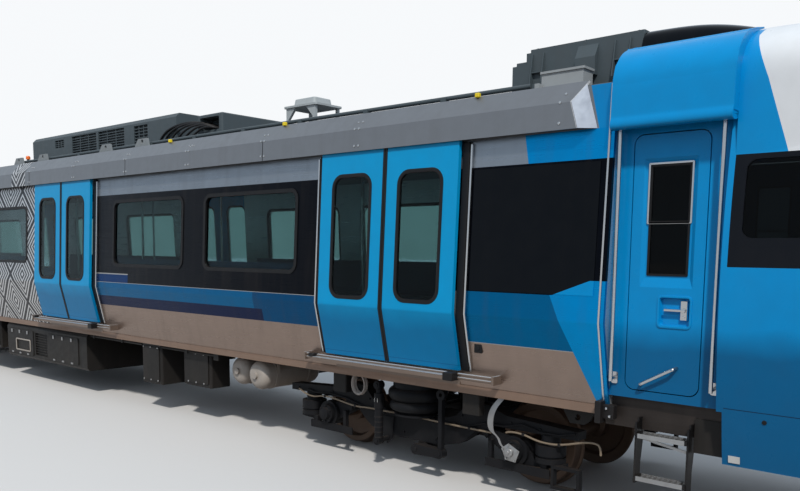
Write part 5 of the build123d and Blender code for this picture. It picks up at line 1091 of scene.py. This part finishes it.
def cylinder(radius, depth, place, axis=(0, 0, 1), sides=16, round_off=0.0, steps=2, ends="both"):
    """A cylinder along an axis, its middle at the place, with one or both rims bevelled."""
    deselect()
    bpy.ops.mesh.primitive_cylinder_add(vertices=sides, radius=radius, depth=depth)
    rod = bpy.context.object
    if round_off:
        edit("EDGE")
        pick_rims(ends)
        bpy.ops.mesh.bevel(offset=round_off, segments=steps, affect="EDGES")
        leave()
    rod.data.transform(Matrix.Translation(place) @ aim(axis))
    return rod


def bolt_rows(name, places, axis, radius=0.013, height=0.008, wears="bright_steel", body="car_body",
              slot=None, sides=10):
    """One domed bolt copied to every place, joined as one piece."""
    first = cylinder(radius, height, (0, 0, 0), axis, sides, radius * 0.55, 2, "top")
    stand = Vector(axis).normalized() * height * 0.5
    copies = [twin(first, "bolt", Matrix.Translation(Vector(p) + stand), body) for p in places]
    bpy.data.objects.remove(first)
    return settle(join(copies), name, wears, body, slot)


def pipe(name, points, radius, wears, body="car_body"):
    """A bent pipe or fixed hose: a round section that follows a smooth path through the points."""
    deselect()
    bpy.ops.curve.primitive_nurbs_path_add()
    path = bpy.context.object
    line = path.data.splines[0]
    line.points.add(max(0, len(points) - len(line.points)))
    spare = len(line.points) - len(points)
    for point, place in zip(line.points, list(points) + [points[-1]] * spare):
        point.co = (*place, 1)
    line.order_u = 3
    line.use_endpoint_u = True
    path.data.bevel_depth = radius
    path.data.bevel_resolution = 2
    path.data.resolution_u = 6
    path.data.use_fill_caps = True
    bpy.ops.object.convert(target="MESH")
    return settle(bpy.context.object, name, wears, body)


print("round helpers ready")

# %% [markdown]
# ## The moulded crown of the cab
# The cab's roof edge is one moulding that is fuller than a plain arc, and the hood over each cab door ends in a
# rolled lip. A sheet is the right form for both: a flat grid is added, each of its rows becomes one cross-section,
# subdivision makes it smooth, and Solidify gives it the thickness of the moulding. It lies on the shell below.

# %% Crown of the cab and hoods over the cab doors
CROWN_SIDE, CROWN_TOP = 3.200, 3.815
CROWN = [
    # half width and height above the treads, from the side wall to the middle
    (1.342, 2.800), (1.3405, 2.860), (1.340, 3.000), (1.339, 3.200), (1.334, 3.360), (1.312, 3.470), (1.245, 3.575),
    (1.110, 3.668), (0.905, 3.752), (0.520, 3.800), (0.0, 3.815)]
CROWN_RUN = [
    # x, height of the middle, how far the section has drawn in to the nose
    (8.790, 3.815, 0.0), (8.800, 3.815, 0.0), (9.000, 3.812, 0.0), (9.250, 3.800, 0.06), (9.500, 3.765, 0.22),
    (9.720, 3.700, 0.45), (9.900, 3.605, 0.68), (10.050, 3.485, 0.86), (10.170, 3.345, 1.0), (10.230, 3.240, 1.0)]
DOOR_HOOD = [
    (1.300, 3.078), (1.365, 3.058), (1.410, 3.052), (1.434, 3.064), (1.442, 3.090), (1.436, 3.120), (1.428, 3.140),
    (1.427, 3.165), (1.424, 3.300), (1.417, 3.420), (1.385, 3.520), (1.300, 3.610), (1.204, 3.664), (1.190, 3.680),
    (1.175, 3.678), (1.060, 3.716), (0.905, 3.750)]
DOOR_HOOD_RUN = (7.906, 7.916, 8.100, 8.350, 8.600, 8.780, 8.788)
DOOR_HOOD_ENDS = (7.908, 8.784)


def sheet(name, rows, wears, wall, body="car_body", slot=None):
    """A smooth sheet from rows of (x, y, z) points, given its wall thickness on the inner side."""
    deselect()
    bpy.ops.mesh.primitive_grid_add(x_subdivisions=len(rows[0]) - 1, y_subdivisions=len(rows) - 1, size=1)
    piece = bpy.context.object
    across = sorted({round(v.co.x, 4) for v in piece.data.vertices})
    along = sorted({round(v.co.y, 4) for v in piece.data.vertices})
    assert (len(across), len(along)) == (len(rows[0]), len(rows))
    for vertex in piece.data.vertices:
        column, row = across.index(round(vertex.co.x, 4)), along.index(round(vertex.co.y, 4))
        vertex.co = rows[row][column]
    modify(piece, "SUBSURF", levels=2, render_levels=2, boundary_smooth="PRESERVE_CORNERS")
    modify(piece, "SOLIDIFY", thickness=wall, offset=-1.0)
    return settle(piece, name, wears, body, slot, smooth=40)


def whole_section(x, half):
    """The points of a cross-section from wall to wall, from those of one half."""
    return [(x, y, z) for y, z in half[:-1]] + [(x, -y, z) for y, z in reversed(half)]


def crown_row(x, middle, drawn):
    """A cross-section of the crown: its middle sinks and its sides draw in towards the nose."""
    half = []
    for y, z in CROWN:
        rise = max(0.0, z - CROWN_SIDE) / (CROWN_TOP - CROWN_SIDE)
        z_here = z if z < CROWN_SIDE else CROWN_SIDE + rise * (middle - CROWN_SIDE)
        pull = 0.028 if z < 2.850 else 0.085
        half.append((y - drawn * pull * (1 if y > 0.3 else 0), up(z_here)))
    return whole_section(x, half)


def hood_inner(y, z):
    """The point on the inner edge of a hood's end plate that lies inside a point of its outer edge."""
    inner_z = min(z, 3.700) if y < 1.1 else z + (0.03 if z < CROWN_SIDE else -0.035)
    return max(0.86, y - 0.16), inner_z


crown = sheet("cab_crown", [crown_row(*station) for station in CROWN_RUN], "cab_blue", 0.004)
door_hood = sheet("door_hood_right", [[(x, -y, up(z)) for y, z in reversed(DOOR_HOOD)] for x in DOOR_HOOD_RUN],
                  "portal_blue", 0.006)
both_sides(door_hood)
hood_rim = DOOR_HOOD + [hood_inner(y, z) for y, z in reversed(DOOR_HOOD)]
pair([flat_plate([(x, -y, up(z)) for y, z in hood_rim], 0.004) for x in DOOR_HOOD_ENDS], "door_hood_ends",
     "portal_blue")
print("crown", len(crown.data.polygons), "faces, hood", len(door_hood.data.polygons))

# %% [markdown]
# ### The black cowl behind the cab roof
# The cowl carries the line of the front roof unit down to the cab crown. It is a sheet again, lower and flatter
# than the plain CAD fairing, so it stands for that node.

# %% Roof cowl
COWL = [(0.935, 3.560), (0.930, 3.740), (0.905, 3.830), (0.840, 3.885), (0.700, 3.907), (0.400, 3.917), (0.0, 3.920)]
COWL_RUN = [(7.890, 0.0), (7.900, 0.0), (8.080, 0.003), (8.250, 0.012), (8.400, 0.032), (8.550, 0.066), (8.700, 0.112),
            (8.850, 0.170), (8.980, 0.230)]


def cowl_row(x, drop):
    """A cross-section of the cowl, whose top sinks by the drop while its foot stays."""
    return whole_section(x, [(y, up(z) - drop * max(0.0, (z - COWL[0][1]) / 0.36)) for y, z in COWL])


cowl = sheet("roof_cowl", [cowl_row(*station) for station in COWL_RUN], "gloss_black", 0.004)
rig.replaces(cowl, "cab_roof_fairing")
print("cowl", len(cowl.data.polygons), "faces")

# %% [markdown]
# ### Ends of the cantrail hood
# A slanted plate of bright steel closes the long hood just behind the cab. It is a flat plate whose corners
# are the corners of the hood's own section, carried forward to the wall.

# %% Hood end plates
HOOD_END = [(7.627, -1.429, 3.098), (7.563, -1.419, 3.303), (7.651, -1.290, 3.469), (7.636, -1.313, 3.440),
            (7.711, -1.324, 3.200), (7.743, -1.329, 3.098)]
pair(flat_plate([(x + 0.007, y, up(z)) for x, y, z in HOOD_END], 0.005), "hood_end_plate", "hood_end")
print("hood ends closed")

# %% [markdown]
# ### Lever, foot handle and pocket frame of the cab door
# These turn with the door, so they ride on the door's own body. The lever is a flat steel plate with a thin arm,
# and the handle low down is a bent bar of polished steel.

# %% Cab door fittings
DOOR_OUT = -1.306
FOOT_HANDLE = [(8.155, -1.249, 1.170), (8.160, -1.290, 1.173), (8.176, DOOR_OUT, 1.181), (8.290, DOOR_OUT, 1.245),
               (8.403, DOOR_OUT, 1.309), (8.419, -1.290, 1.317), (8.424, -1.249, 1.320)]
for word in CAB_DOORS:
    body = f"cab_door_{word}"
    plate = box((8.424, -1.243, up(1.672)), (8.476, -1.236, up(1.816)), 0.003)
    arm = box((8.306, -1.262, up(1.735)), (8.452, -1.250, up(1.753)), 0.005, 2)
    hub = cylinder(0.016, 0.026, (8.450, -1.248, up(1.744)), OUTWARD, 20, 0.003)
    lock = cylinder(0.012, 0.010, (8.450, -1.243, up(1.698)), OUTWARD, 16, 0.002)
    pocket = rounded_plate(0.262, 0.244, 0.036, 8.383, up(1.730), border=0.018)
    shift(thicken(pocket, 0.007, 0.002, 0.003), 0, -1.250, 0)
    fittings = [settle(join([plate, arm, hub, lock]), f"cab_lever_{word}", "bright_steel", body),
                settle(pocket, f"pocket_frame_{word}", "portal_blue", body),
                pipe(f"foot_handle_{word}", [(x, y, up(z)) for x, y, z in FOOT_HANDLE], 0.0125, "bright_steel", body)]
    if word == "left":
        for piece in fittings:
            flip_over(piece)
print("cab door fittings", len(fittings), "a side")

# %% [markdown]
# ### Bolts, joints and markers of the hood
# The folded hood over the doors is made of long panels. Domed bolts hold them in pairs, a dark joint shows at
# each panel end, and small yellow markers sit on the top edge. One bolt is a short cylinder whose upper rim is
# bevelled into a dome; it is copied to every place and the copies are joined as one piece.

# %% Hood bolts, joints and markers
HOOD_PANEL = 2.809
HOOD_JOINTS = [3.884 + HOOD_PANEL * i for i in range(-5, 1)]
HOOD_MIDS = [x + 1.405 for x in HOOD_JOINTS[:-1]] + [5.290]
MARKER_X = (1.95, 4.11, 6.61)
HOOD_END_BOLTS = 7.475
HOOD_ROWS = [3.306, 3.148]
HOOD_TOP_Y, HOOD_TOP_Z = -1.3645, up(3.374)
HOOD_OUT = 0.100
BOLT_X = [x + dx for x in HOOD_JOINTS + HOOD_MIDS for dx in (-0.028, 0.028)]

places = [(x, -out_at(up(z), HOOD_OUT), up(z)) for x in BOLT_X + [HOOD_END_BOLTS] for z in HOOD_ROWS]
both_sides(bolt_rows("hood_bolts", places, (0, -1, UPPER_LEAN)))
places = [(x, HOOD_TOP_Y, HOOD_TOP_Z) for x in BOLT_X + [HOOD_END_BOLTS + 0.02]]
both_sides(bolt_rows("hood_top_bolts", places, (0, -0.79, 0.61)))
pair([bent_strip(x - 0.004, x + 0.004, up(3.100), up(3.302), HOOD_OUT - 0.004, HOOD_OUT + 0.0015)
      for x in HOOD_JOINTS], "hood_joints", "rubber")
pair([box((x - 0.022, -1.322, up(3.458)), (x + 0.022, -1.284, up(3.497)), 0.006) for x in MARKER_X],
     "hood_markers", "marker_yellow")
pair(bent_strip(7.850, 7.866, up(0.98), up(3.42), 0.0, 0.010, 0.003), "wall_end_strip", "bright_steel")
print("hood bolts", len(BOLT_X) * 3)

# %% [markdown]
# ### Roof pieces
# Hoses loop from the end of the rear unit into the open pocket of the roof box. They are clamped at both
# ends, so they are drawn as bent tubes, each a little shorter than the one behind it. Fan blades fill the round
# openings on top: one flat blade is pitched and copied round its hub. An orange lamp stands at the roof's edge.

# %% Roof hoses
HOSES = [
    # x at the roof, x in the pocket, height in the pocket
    (1.080, 2.010, 3.755), (1.230, 2.080, 3.740), (1.400, 2.150, 3.720),
    (1.580, 2.230, 3.700), (1.760, 2.310, 3.675), (1.930, 2.390, 3.650)]
for number, (foot_x, pocket_x, pocket_z) in enumerate(HOSES):
    y = -0.930 - 0.012 * number
    run = pocket_x - foot_x
    both_sides(pipe(f"roof_hose_{number}", [
        (foot_x, y, up(3.490)), (foot_x + 0.02, y, up(3.570)),
        (foot_x + 0.20 * run, y, up(pocket_z) - 0.055), (foot_x + 0.55 * run, y, up(pocket_z) + 0.010),
        (pocket_x, y, up(pocket_z)), (pocket_x + 0.03, -0.78, up(pocket_z) - 0.02)], 0.0145, "rubber"))
print("roof hoses", len(HOSES) * 2)

# %% Fans, edge lamp and lid bolts
FAN_X = (-1.800, -0.700, 0.400)
FAN_Z = up(3.885)
BLADES = 7
BLADE_PITCH = Matrix.Rotation(math.radians(22), 4, "X")
LAMP_X, LAMP_Y = -2.425, -1.120

fans = []
for fan_x in FAN_X:
    for number in range(BLADES):
        blade = box((0.05, -0.045, -0.004), (0.270, 0.045, 0.004), 0.002)
        blade.data.transform(Matrix.Translation((fan_x, 0, FAN_Z)) @
                             Matrix.Rotation(number * math.tau / BLADES, 4, "Z") @ BLADE_PITCH)
        fans.append(blade)
    fans.append(cylinder(0.075, 0.05, (fan_x, 0, FAN_Z), sides=24, round_off=0.012))
settle(join(fans), "roof_fans", "rubber")
pair(cylinder(0.034, 0.056, (LAMP_X, LAMP_Y, up(3.592)), sides=20, round_off=0.024, steps=4, ends="top"),
     "edge_lamp", "amber")
post = cylinder(0.018, 0.13, (LAMP_X, LAMP_Y, up(3.505)), sides=12)
foot = box((LAMP_X - 0.050, LAMP_Y - 0.050, up(3.425)), (LAMP_X + 0.050, LAMP_Y + 0.050, up(3.450)), 0.004)
pair([post, foot], "edge_lamp_post", "bogie_grey", slot="underfloor_paint")
places = [(x, y, up(3.900)) for x in (6.90, 7.36, 7.82) for y in (-0.83, -0.3, 0.3, 0.83)]
bolt_rows("roof_lid_bolts", places, (0, 0, 1), 0.012, 0.008, "roof_grey")
print("fans", len(FAN_X))

# %% [markdown]
# ### Doors of the equipment under the floor
# The converter case has two doors on each side, held by latches along the top and the foot, and a pale window
# frame. The smaller boxes have bolted lids. All of it sits on the CAD cases that carry it.

# %% Latches, window frame and lid bolts
CASE_DOORS = ((-3.160, -2.210), (-1.670, -0.700))
latches = []
for rear_x, front_x in CASE_DOORS:
    for share in (0.2, 0.5, 0.8):
        x = rear_x + (front_x - rear_x) * share
        latches.append(box((x - 0.018, -1.276, up(0.735)), (x + 0.018, -1.260, up(0.790)), 0.004))
        latches.append(box((x - 0.030, -1.272, up(0.395)), (x + 0.030, -1.258, up(0.420)), 0.003))
pair(latches, "case_latches", "fitting_steel")
window = thicken(rounded_plate(0.540, 0.200, 0.030, -2.570, up(0.550), border=0.022), 0.008, 0.004, 0.003)
pair(shift(window, 0, -1.262, 0), "case_window_frame", "tank_white")
for box_x, box_y, low_z, high_z in ((1.230, -1.214, 0.400, 0.840), (2.200, -1.164, 0.470, 0.840)):
    places = [(box_x + dx, box_y, up(z)) for dx in (-0.17, 0, 0.17) for z in (low_z, high_z)]
    both_sides(bolt_rows(f"box_bolts_{int(box_x * 100)}", places, OUTWARD, 0.012, 0.010, "fitting_steel"))
print("latches", len(latches))

# %% [markdown]
# ### Axle ends of the bogies
# Each axlebox has a ring of nuts. The axle nearer the car's middle ends in a plain cap, and the one nearer the
# car's end in an earthing cap: a five-cornered plate with a hub and small screws. Both bogies get the same
# pieces, the rear one turned round, so distances count from the pivot towards the car's end. One function makes
# each group of pieces, and a later cell calls all four for both bogies.

# %% Axle ends
AXLE_DX, AXLE_Z = 1.2, up(0.390)
NUTS, NUT_RING, NUT_Y = 6, 0.084, -1.085
CAP_PLATE = [(-0.086, 0.026), (-0.013, 0.079), (0.103, 0.024), (0.065, -0.083), (-0.040, -0.075)]


def axle_ends(bogie, body, at):
    """Nuts round both axlebox covers, the plain cap and the earthing cap."""
    nuts = []
    for axle_x in (at(0) - AXLE_DX, at(0) + AXLE_DX):
        for number in range(NUTS):
            angle = number * math.tau / NUTS + 0.5
            nuts.append((axle_x + NUT_RING * math.cos(angle), NUT_Y, AXLE_Z + NUT_RING * math.sin(angle)))
    both_sides(bolt_rows(f"{bogie}_axle_nuts", nuts, OUTWARD, 0.013, 0.012, "bogie_grey", body, sides=6), body)
    pair(cylinder(0.062, 0.012, (at(-AXLE_DX), -1.111, AXLE_Z), OUTWARD, 24, 0.004, 2, "top"),
         f"{bogie}_inner_axle_cap", "bogie_grey", body)
    plate = flat_plate([(at(AXLE_DX + dx), -1.113, AXLE_Z + dz) for dx, dz in CAP_PLATE], 0.008)
    modify(plate, "BEVEL", width=0.003, segments=2)
    hub = cylinder(0.042, 0.030, (at(AXLE_DX), -1.126, AXLE_Z), OUTWARD, 24, 0.008, 3, "top")
    nut = cylinder(0.018, 0.044, (at(AXLE_DX), -1.130, AXLE_Z), OUTWARD, 6, 0.003, 1, "top")
    screws = [cylinder(0.010, 0.016, (at(AXLE_DX + 0.8 * dx), -1.119, AXLE_Z + 0.8 * dz), OUTWARD, 6)
              for dx, dz in CAP_PLATE]
    pair([plate, hub, nut] + screws, f"{bogie}_earthing_cap", "fitting_steel", body, "bright_steel")


print("corners of the cap plate", len(CAP_PLATE))

# %% [markdown]
# ### Frame, damper and links of the bogies
# The dropped side frame carries bolts of its own. The damper and the links beside it end in eyes with six-sided
# nuts, rubber rings show on the damper's rod, and two small plates are blank tags.

# %% Frame bolts, eyes, rings and tags
FRAME_BOLTS = ((0.60, 0.62), (0.75, 0.70), (0.95, 0.70), (1.15, 0.63), (1.45, 0.62), (1.70, 0.61),
               (-0.60, 0.62), (-0.75, 0.70), (-1.15, 0.63), (-1.70, 0.61), (0.30, 0.35), (-0.12, 0.35))
DAMPER_DX, LINK_DX = -0.33, 0.44
EYES = ((DAMPER_DX, -1.2115, 0.255), (DAMPER_DX, -1.2115, 0.820), (LINK_DX, -1.171, 0.245), (0.15, -1.171, 0.245))
RING_HEIGHTS = [0.290 + 0.052 * step for step in range(5)]


def frame_pieces(bogie, body, at):
    """Bolts of the frame, nuts of the eyes, rings of the damper and two blank tags."""
    places = [(at(dx), -1.020, up(z)) for dx, z in FRAME_BOLTS]
    both_sides(bolt_rows(f"{bogie}_frame_bolts", places, OUTWARD, 0.014, 0.012, "bogie_grey", body, sides=8), body)
    pair([cylinder(0.026, 0.014, (at(dx), y, up(z)), OUTWARD, 6, 0.003, 1, "top") for dx, y, z in EYES],
         f"{bogie}_eye_nuts", "bogie_grey", body)
    pair([cylinder(0.046, 0.012, (at(DAMPER_DX), -1.170, up(z)), sides=20, round_off=0.004) for z in RING_HEIGHTS],
         f"{bogie}_damper_rings", "rubber", body)
    damper_x, link_x = at(DAMPER_DX), at(LINK_DX)
    pair([box((damper_x - 0.022, -1.2165, up(0.650)), (damper_x + 0.022, -1.2145, up(0.690))),
          box((link_x - 0.016, -1.1500, up(0.425)), (link_x + 0.016, -1.1470, up(0.470)))],
         f"{bogie}_blank_tags", "label_white", body)


print("frame bolts", len(FRAME_BOLTS))

# %% [markdown]
# ### Brake pipes and earthing strap
# Thin steel pipes run along the side frame in rubber clips. They follow their points as a path does. The flat
# strap hangs from the sole to the axle cap: a narrow sheet, subdivided until it bends smoothly. Its upper end is
# tied to the car body and its lower end to the bogie, so it is blended between the two bodies.

# %% Brake pipes and earthing strap
PIPE_RUNS = [
    # distance from the pivot and height above the treads, point by point along each pipe
    [(-1.66, 0.607), (-1.494, 0.526), (-1.235, 0.582), (-1.017, 0.556), (-0.776, 0.523), (-0.572, 0.537),
     (-0.403, 0.533), (0.0, 0.540), (0.356, 0.524), (0.713, 0.521), (0.961, 0.519)],
    [(1.120, 0.545), (1.155, 0.563), (1.302, 0.560), (1.466, 0.516), (1.663, 0.519), (1.906, 0.590), (2.000, 0.595),
     (2.045, 0.575), (2.050, 0.500)]]
CLIPS = [(-1.235, 0.575), (-0.776, 0.528), (0.0, 0.538), (0.713, 0.521), (1.302, 0.556), (1.663, 0.522)]
STRAP = [
    # distance from the pivot, height, half width, how far it stands out
    (1.110, 0.888, 0.030, 0.000), (1.095, 0.850, 0.031, 0.012), (1.026, 0.772, 0.031, 0.030),
    (0.996, 0.667, 0.031, 0.034), (1.000, 0.566, 0.030, 0.028), (1.035, 0.535, 0.012, 0.022),
    (1.092, 0.500, 0.012, 0.020), (1.098, 0.440, 0.012, 0.018), (1.190, 0.392, 0.012, 0.016)]
CLIP = 0.014
STRAP_Y = -1.098


def brake_pipes(bogie, body, at):
    """The pipes along the side frame, and their clips."""
    runs = [pipe(f"{bogie}_run", [(at(dx), -1.055, up(z)) for dx, z in run], 0.0095, "brake_pipe", body)
            for run in PIPE_RUNS]
    clips = [box((at(dx) - CLIP, -1.068, up(z) - CLIP), (at(dx) + CLIP, -1.018, up(z) + CLIP), 0.003)
             for dx, z in CLIPS]
    pair(runs, f"{bogie}_brake_pipes", "brake_pipe", body)
    pair(clips, f"{bogie}_pipe_clips", "rubber", body, "bogie_paint")


def earthing_strap(bogie, body, at):
    """The strap from the sole to the axle cap, on both sides."""
    rows = [[(at(dx) + edge, STRAP_Y - out, up(z)) for edge in (-half, half)] for dx, z, half, out in STRAP]
    strap = sheet(f"{bogie}_earthing_strap", rows, "fitting_steel", 0.003, None, "bright_steel")
    strap_left = twin(strap, strap.name + "_left", MIRROR, None)
    for piece, y in ((strap, -1.10), (strap_left, 1.10)):
        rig.blend(piece, "car_body", body, start=(at(1.1), y, up(0.888)), end=(at(1.1), y, up(0.560)))


print("pipe runs", len(PIPE_RUNS), "strap rows", len(STRAP))

# %% Dress both bogies
BOGIES = {"front": (5.700, 1), "rear": (-7.900, -1)}


def from_pivot(bogie):
    """A function that gives x for a distance from the bogie's pivot, counted towards the car's end."""
    pivot_x, towards_end = BOGIES[bogie]
    return lambda dx: pivot_x + towards_end * dx


for bogie in BOGIES:
    for dress in (axle_ends, frame_pieces, brake_pipes, earthing_strap):
        dress(bogie, f"{bogie}_bogie", from_pivot(bogie))
print("bogies dressed", list(BOGIES))

# %% [markdown]
# ### Small pieces on the underframe
# A length of spare cable hangs in a small hank from the sole behind each bogie's damper: six rings, each turned and
# set off a little from the last, so that the turns look loose. They are tied at the hanger and don't swing, so they
# are still rings and not a free cord. A bracket with two bolts stands at the corner behind the cab, a socket sits
# on the wall ahead of the front door, and a lock and a blank tag on the skirt.

# %% Spare cable
HANK_DX, HANK_Z = -0.607, up(0.795)
TURNS, TURN_RADIUS, CABLE_RADIUS = 6, 0.082, 0.0075
for bogie in BOGIES:
    at = from_pivot(bogie)
    loops = []
    for number in range(TURNS):
        deselect()
        bpy.ops.mesh.primitive_torus_add(
            major_radius=TURN_RADIUS + 0.004 * (number % 3), minor_radius=CABLE_RADIUS,
            major_segments=28, minor_segments=8, rotation=(math.pi / 2, 0.05 * number, 0))
        loop = bpy.context.object
        loop.location = (at(HANK_DX - 0.003 * (number % 2)), -1.135 - 0.010 * number, HANK_Z)
        apply_place()
        edit()
        bpy.ops.transform.resize(value=(1.0, 1.0, 1.18), center_override=(0, 0, HANK_Z))
        leave()
        loops.append(loop)
    tie = box((at(HANK_DX) - 0.012, -1.198, up(0.855)), (at(HANK_DX) + 0.012, -1.122, up(0.893)), 0.004)
    pair(loops, f"{bogie}_spare_cable", "pale_cable")
    pair(tie, f"{bogie}_cable_hanger", "rubber", slot="underfloor_paint")
print("turns of spare cable", len(loops))

# %% Corner bracket, socket, lock and tag
bracket = box((7.822, -1.345, up(0.835)), (7.872, -1.255, up(1.010)), 0.006)
arm = box((7.862, -1.300, up(0.870)), (7.960, -1.225, up(0.980)), 0.006)
pair([bracket, arm], "corner_bracket", "rubber", slot="underfloor_paint")
places = [(x, -1.302, up(z)) for x, z in ((7.905, 0.955), (7.935, 0.895))]
both_sides(bolt_rows("corner_bolts", places, OUTWARD, 0.013, 0.014, sides=6))
socket = box((6.655, -1.346, up(1.280)), (6.735, -1.300, up(1.360)), 0.006)
hole = cylinder(0.022, 0.008, (6.695, -1.347, up(1.320)), OUTWARD, 20, 0.003)
pair([socket, hole], "side_socket", "rubber")
pair(cylinder(0.016, 0.006, (9.075, -1.326, up(1.023)), (0, -1, -0.15), 20, 0.002), "skirt_lock", "rubber")
tag = box((-0.040, -0.001, -0.026), (0.040, 0.001, 0.026))
tag.data.transform(Matrix.Translation((8.875, -1.2755, up(0.718))) @ Matrix.Rotation(math.radians(9.5), 4, "X"))
pair(tag, "blank_skirt_tag", "label_white")
print("underframe fittings ready")

# %% [markdown]
# ## Cab front and rear end
# Behind each long lens sit two headlamps and a red tail lamp: pressed bowls, each a short cylinder whose front face
# is inset and pushed back. The wipers are bent arms with a straight blade that lies just off the screen.
# The rear end wall carries two handrails, and a pair of capped sockets on either side of the gangway.

# %% Lamp bowls
LAMP_BOWLS = [(10.800, -0.755, "bright_steel"), (10.720, -0.860, "bright_steel"), (10.622, -0.962, "tail_red")]
LAMP_Z = up(1.560)
LAMP_AXIS = (1.0, -0.45, 0.0)
bowls = {"bright_steel": [], "tail_red": []}
for x, y, wears in LAMP_BOWLS:
    bowl = cylinder(0.056, 0.050, (0, 0, 0), sides=28)
    edit("FACE")
    pick(lambda place: place.z > 0.02, faces=True)
    bpy.ops.mesh.inset(thickness=0.006)
    bpy.ops.transform.translate(value=(0, 0, -0.032))
    bpy.ops.transform.resize(value=(0.45, 0.45, 1.0), center_override=(0, 0, 0))
    leave()
    bowl.data.transform(Matrix.Translation((x - 0.055, y, LAMP_Z)) @ aim(LAMP_AXIS))
    bowls[wears].append(bowl)
pair(bowls["bright_steel"], "headlamp_bowls", "bright_steel")
pair(bowls["tail_red"][0], "tail_lamp_bowl", "tail_red")
print("lamp bowls", len(LAMP_BOWLS), "a side")

# %% Wipers
SCREEN_FOOT = (10.756, 2.100)
SCREEN_SLOPE = 0.405
WIPER_ARM = [(-0.56, 1.870, 0.010), (-0.55, 1.930, 0.050), (-0.46, 2.250, 0.060), (-0.37, 2.520, 0.035)]
WIPER_BLADE = [(-0.40, 2.170, 0.020), (-0.37, 2.520, 0.022), (-0.34, 2.860, 0.020)]


def on_screen(y, z, off):
    """A point at a height on the flat windscreen, a small way in front of it."""
    return (SCREEN_FOOT[0] - SCREEN_SLOPE * (z - SCREEN_FOOT[1]) + off, y, z)


arm = pipe("wiper_arm", [on_screen(*point) for point in WIPER_ARM], 0.011, "rubber")
blade = pipe("wiper_blade", [on_screen(*point) for point in WIPER_BLADE], 0.009, "rubber")
hub = cylinder(0.032, 0.030, on_screen(-0.56, 1.866, 0.010), (1, 0, 0.4), 20, 0.008)
pair([arm, blade, hub], "wiper", "rubber")
print("wiper points", len(WIPER_ARM + WIPER_BLADE))

# %% Fittings of the rear end wall
HANDRAIL_Y = -1.215
HANDRAIL = [(-10.895, 1.190), (-10.965, 1.190), (-10.965, 1.300), (-10.965, 2.450), (-10.965, 2.560),
            (-10.895, 2.560)]
SOCKET_Y = (-0.800, -1.040)
both_sides(pipe("rear_handrail", [(x, HANDRAIL_Y, z) for x, z in HANDRAIL], 0.014, "bright_steel"))
sockets = [box((-10.985, y - 0.075, 1.250), (-10.895, y + 0.075, 1.430), 0.012, 2) for y in SOCKET_Y]
sockets += [cylinder(0.052, 0.040, (-10.965, y, 1.240), sides=20, round_off=0.008) for y in SOCKET_Y]
pair(sockets, "jumper_sockets", "case_grey")
places = [(-10.900, y, z) for y in (-0.62, 0.62) for z in (1.10, 1.50, 1.90, 2.30, 2.70, 3.10)]
bolt_rows("gangway_bolts", places, (-1, 0, 0), 0.012, 0.009, "fitting_steel", slot="bright_steel", sides=6)
print("ends dressed")

# %% Close the frame
before, after = CAD_BOX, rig.bounds()
json.dump({"cad": [list(map(float, c)) for c in before], "visual": [list(map(float, c)) for c in after]},
          open("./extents.json", "w"))
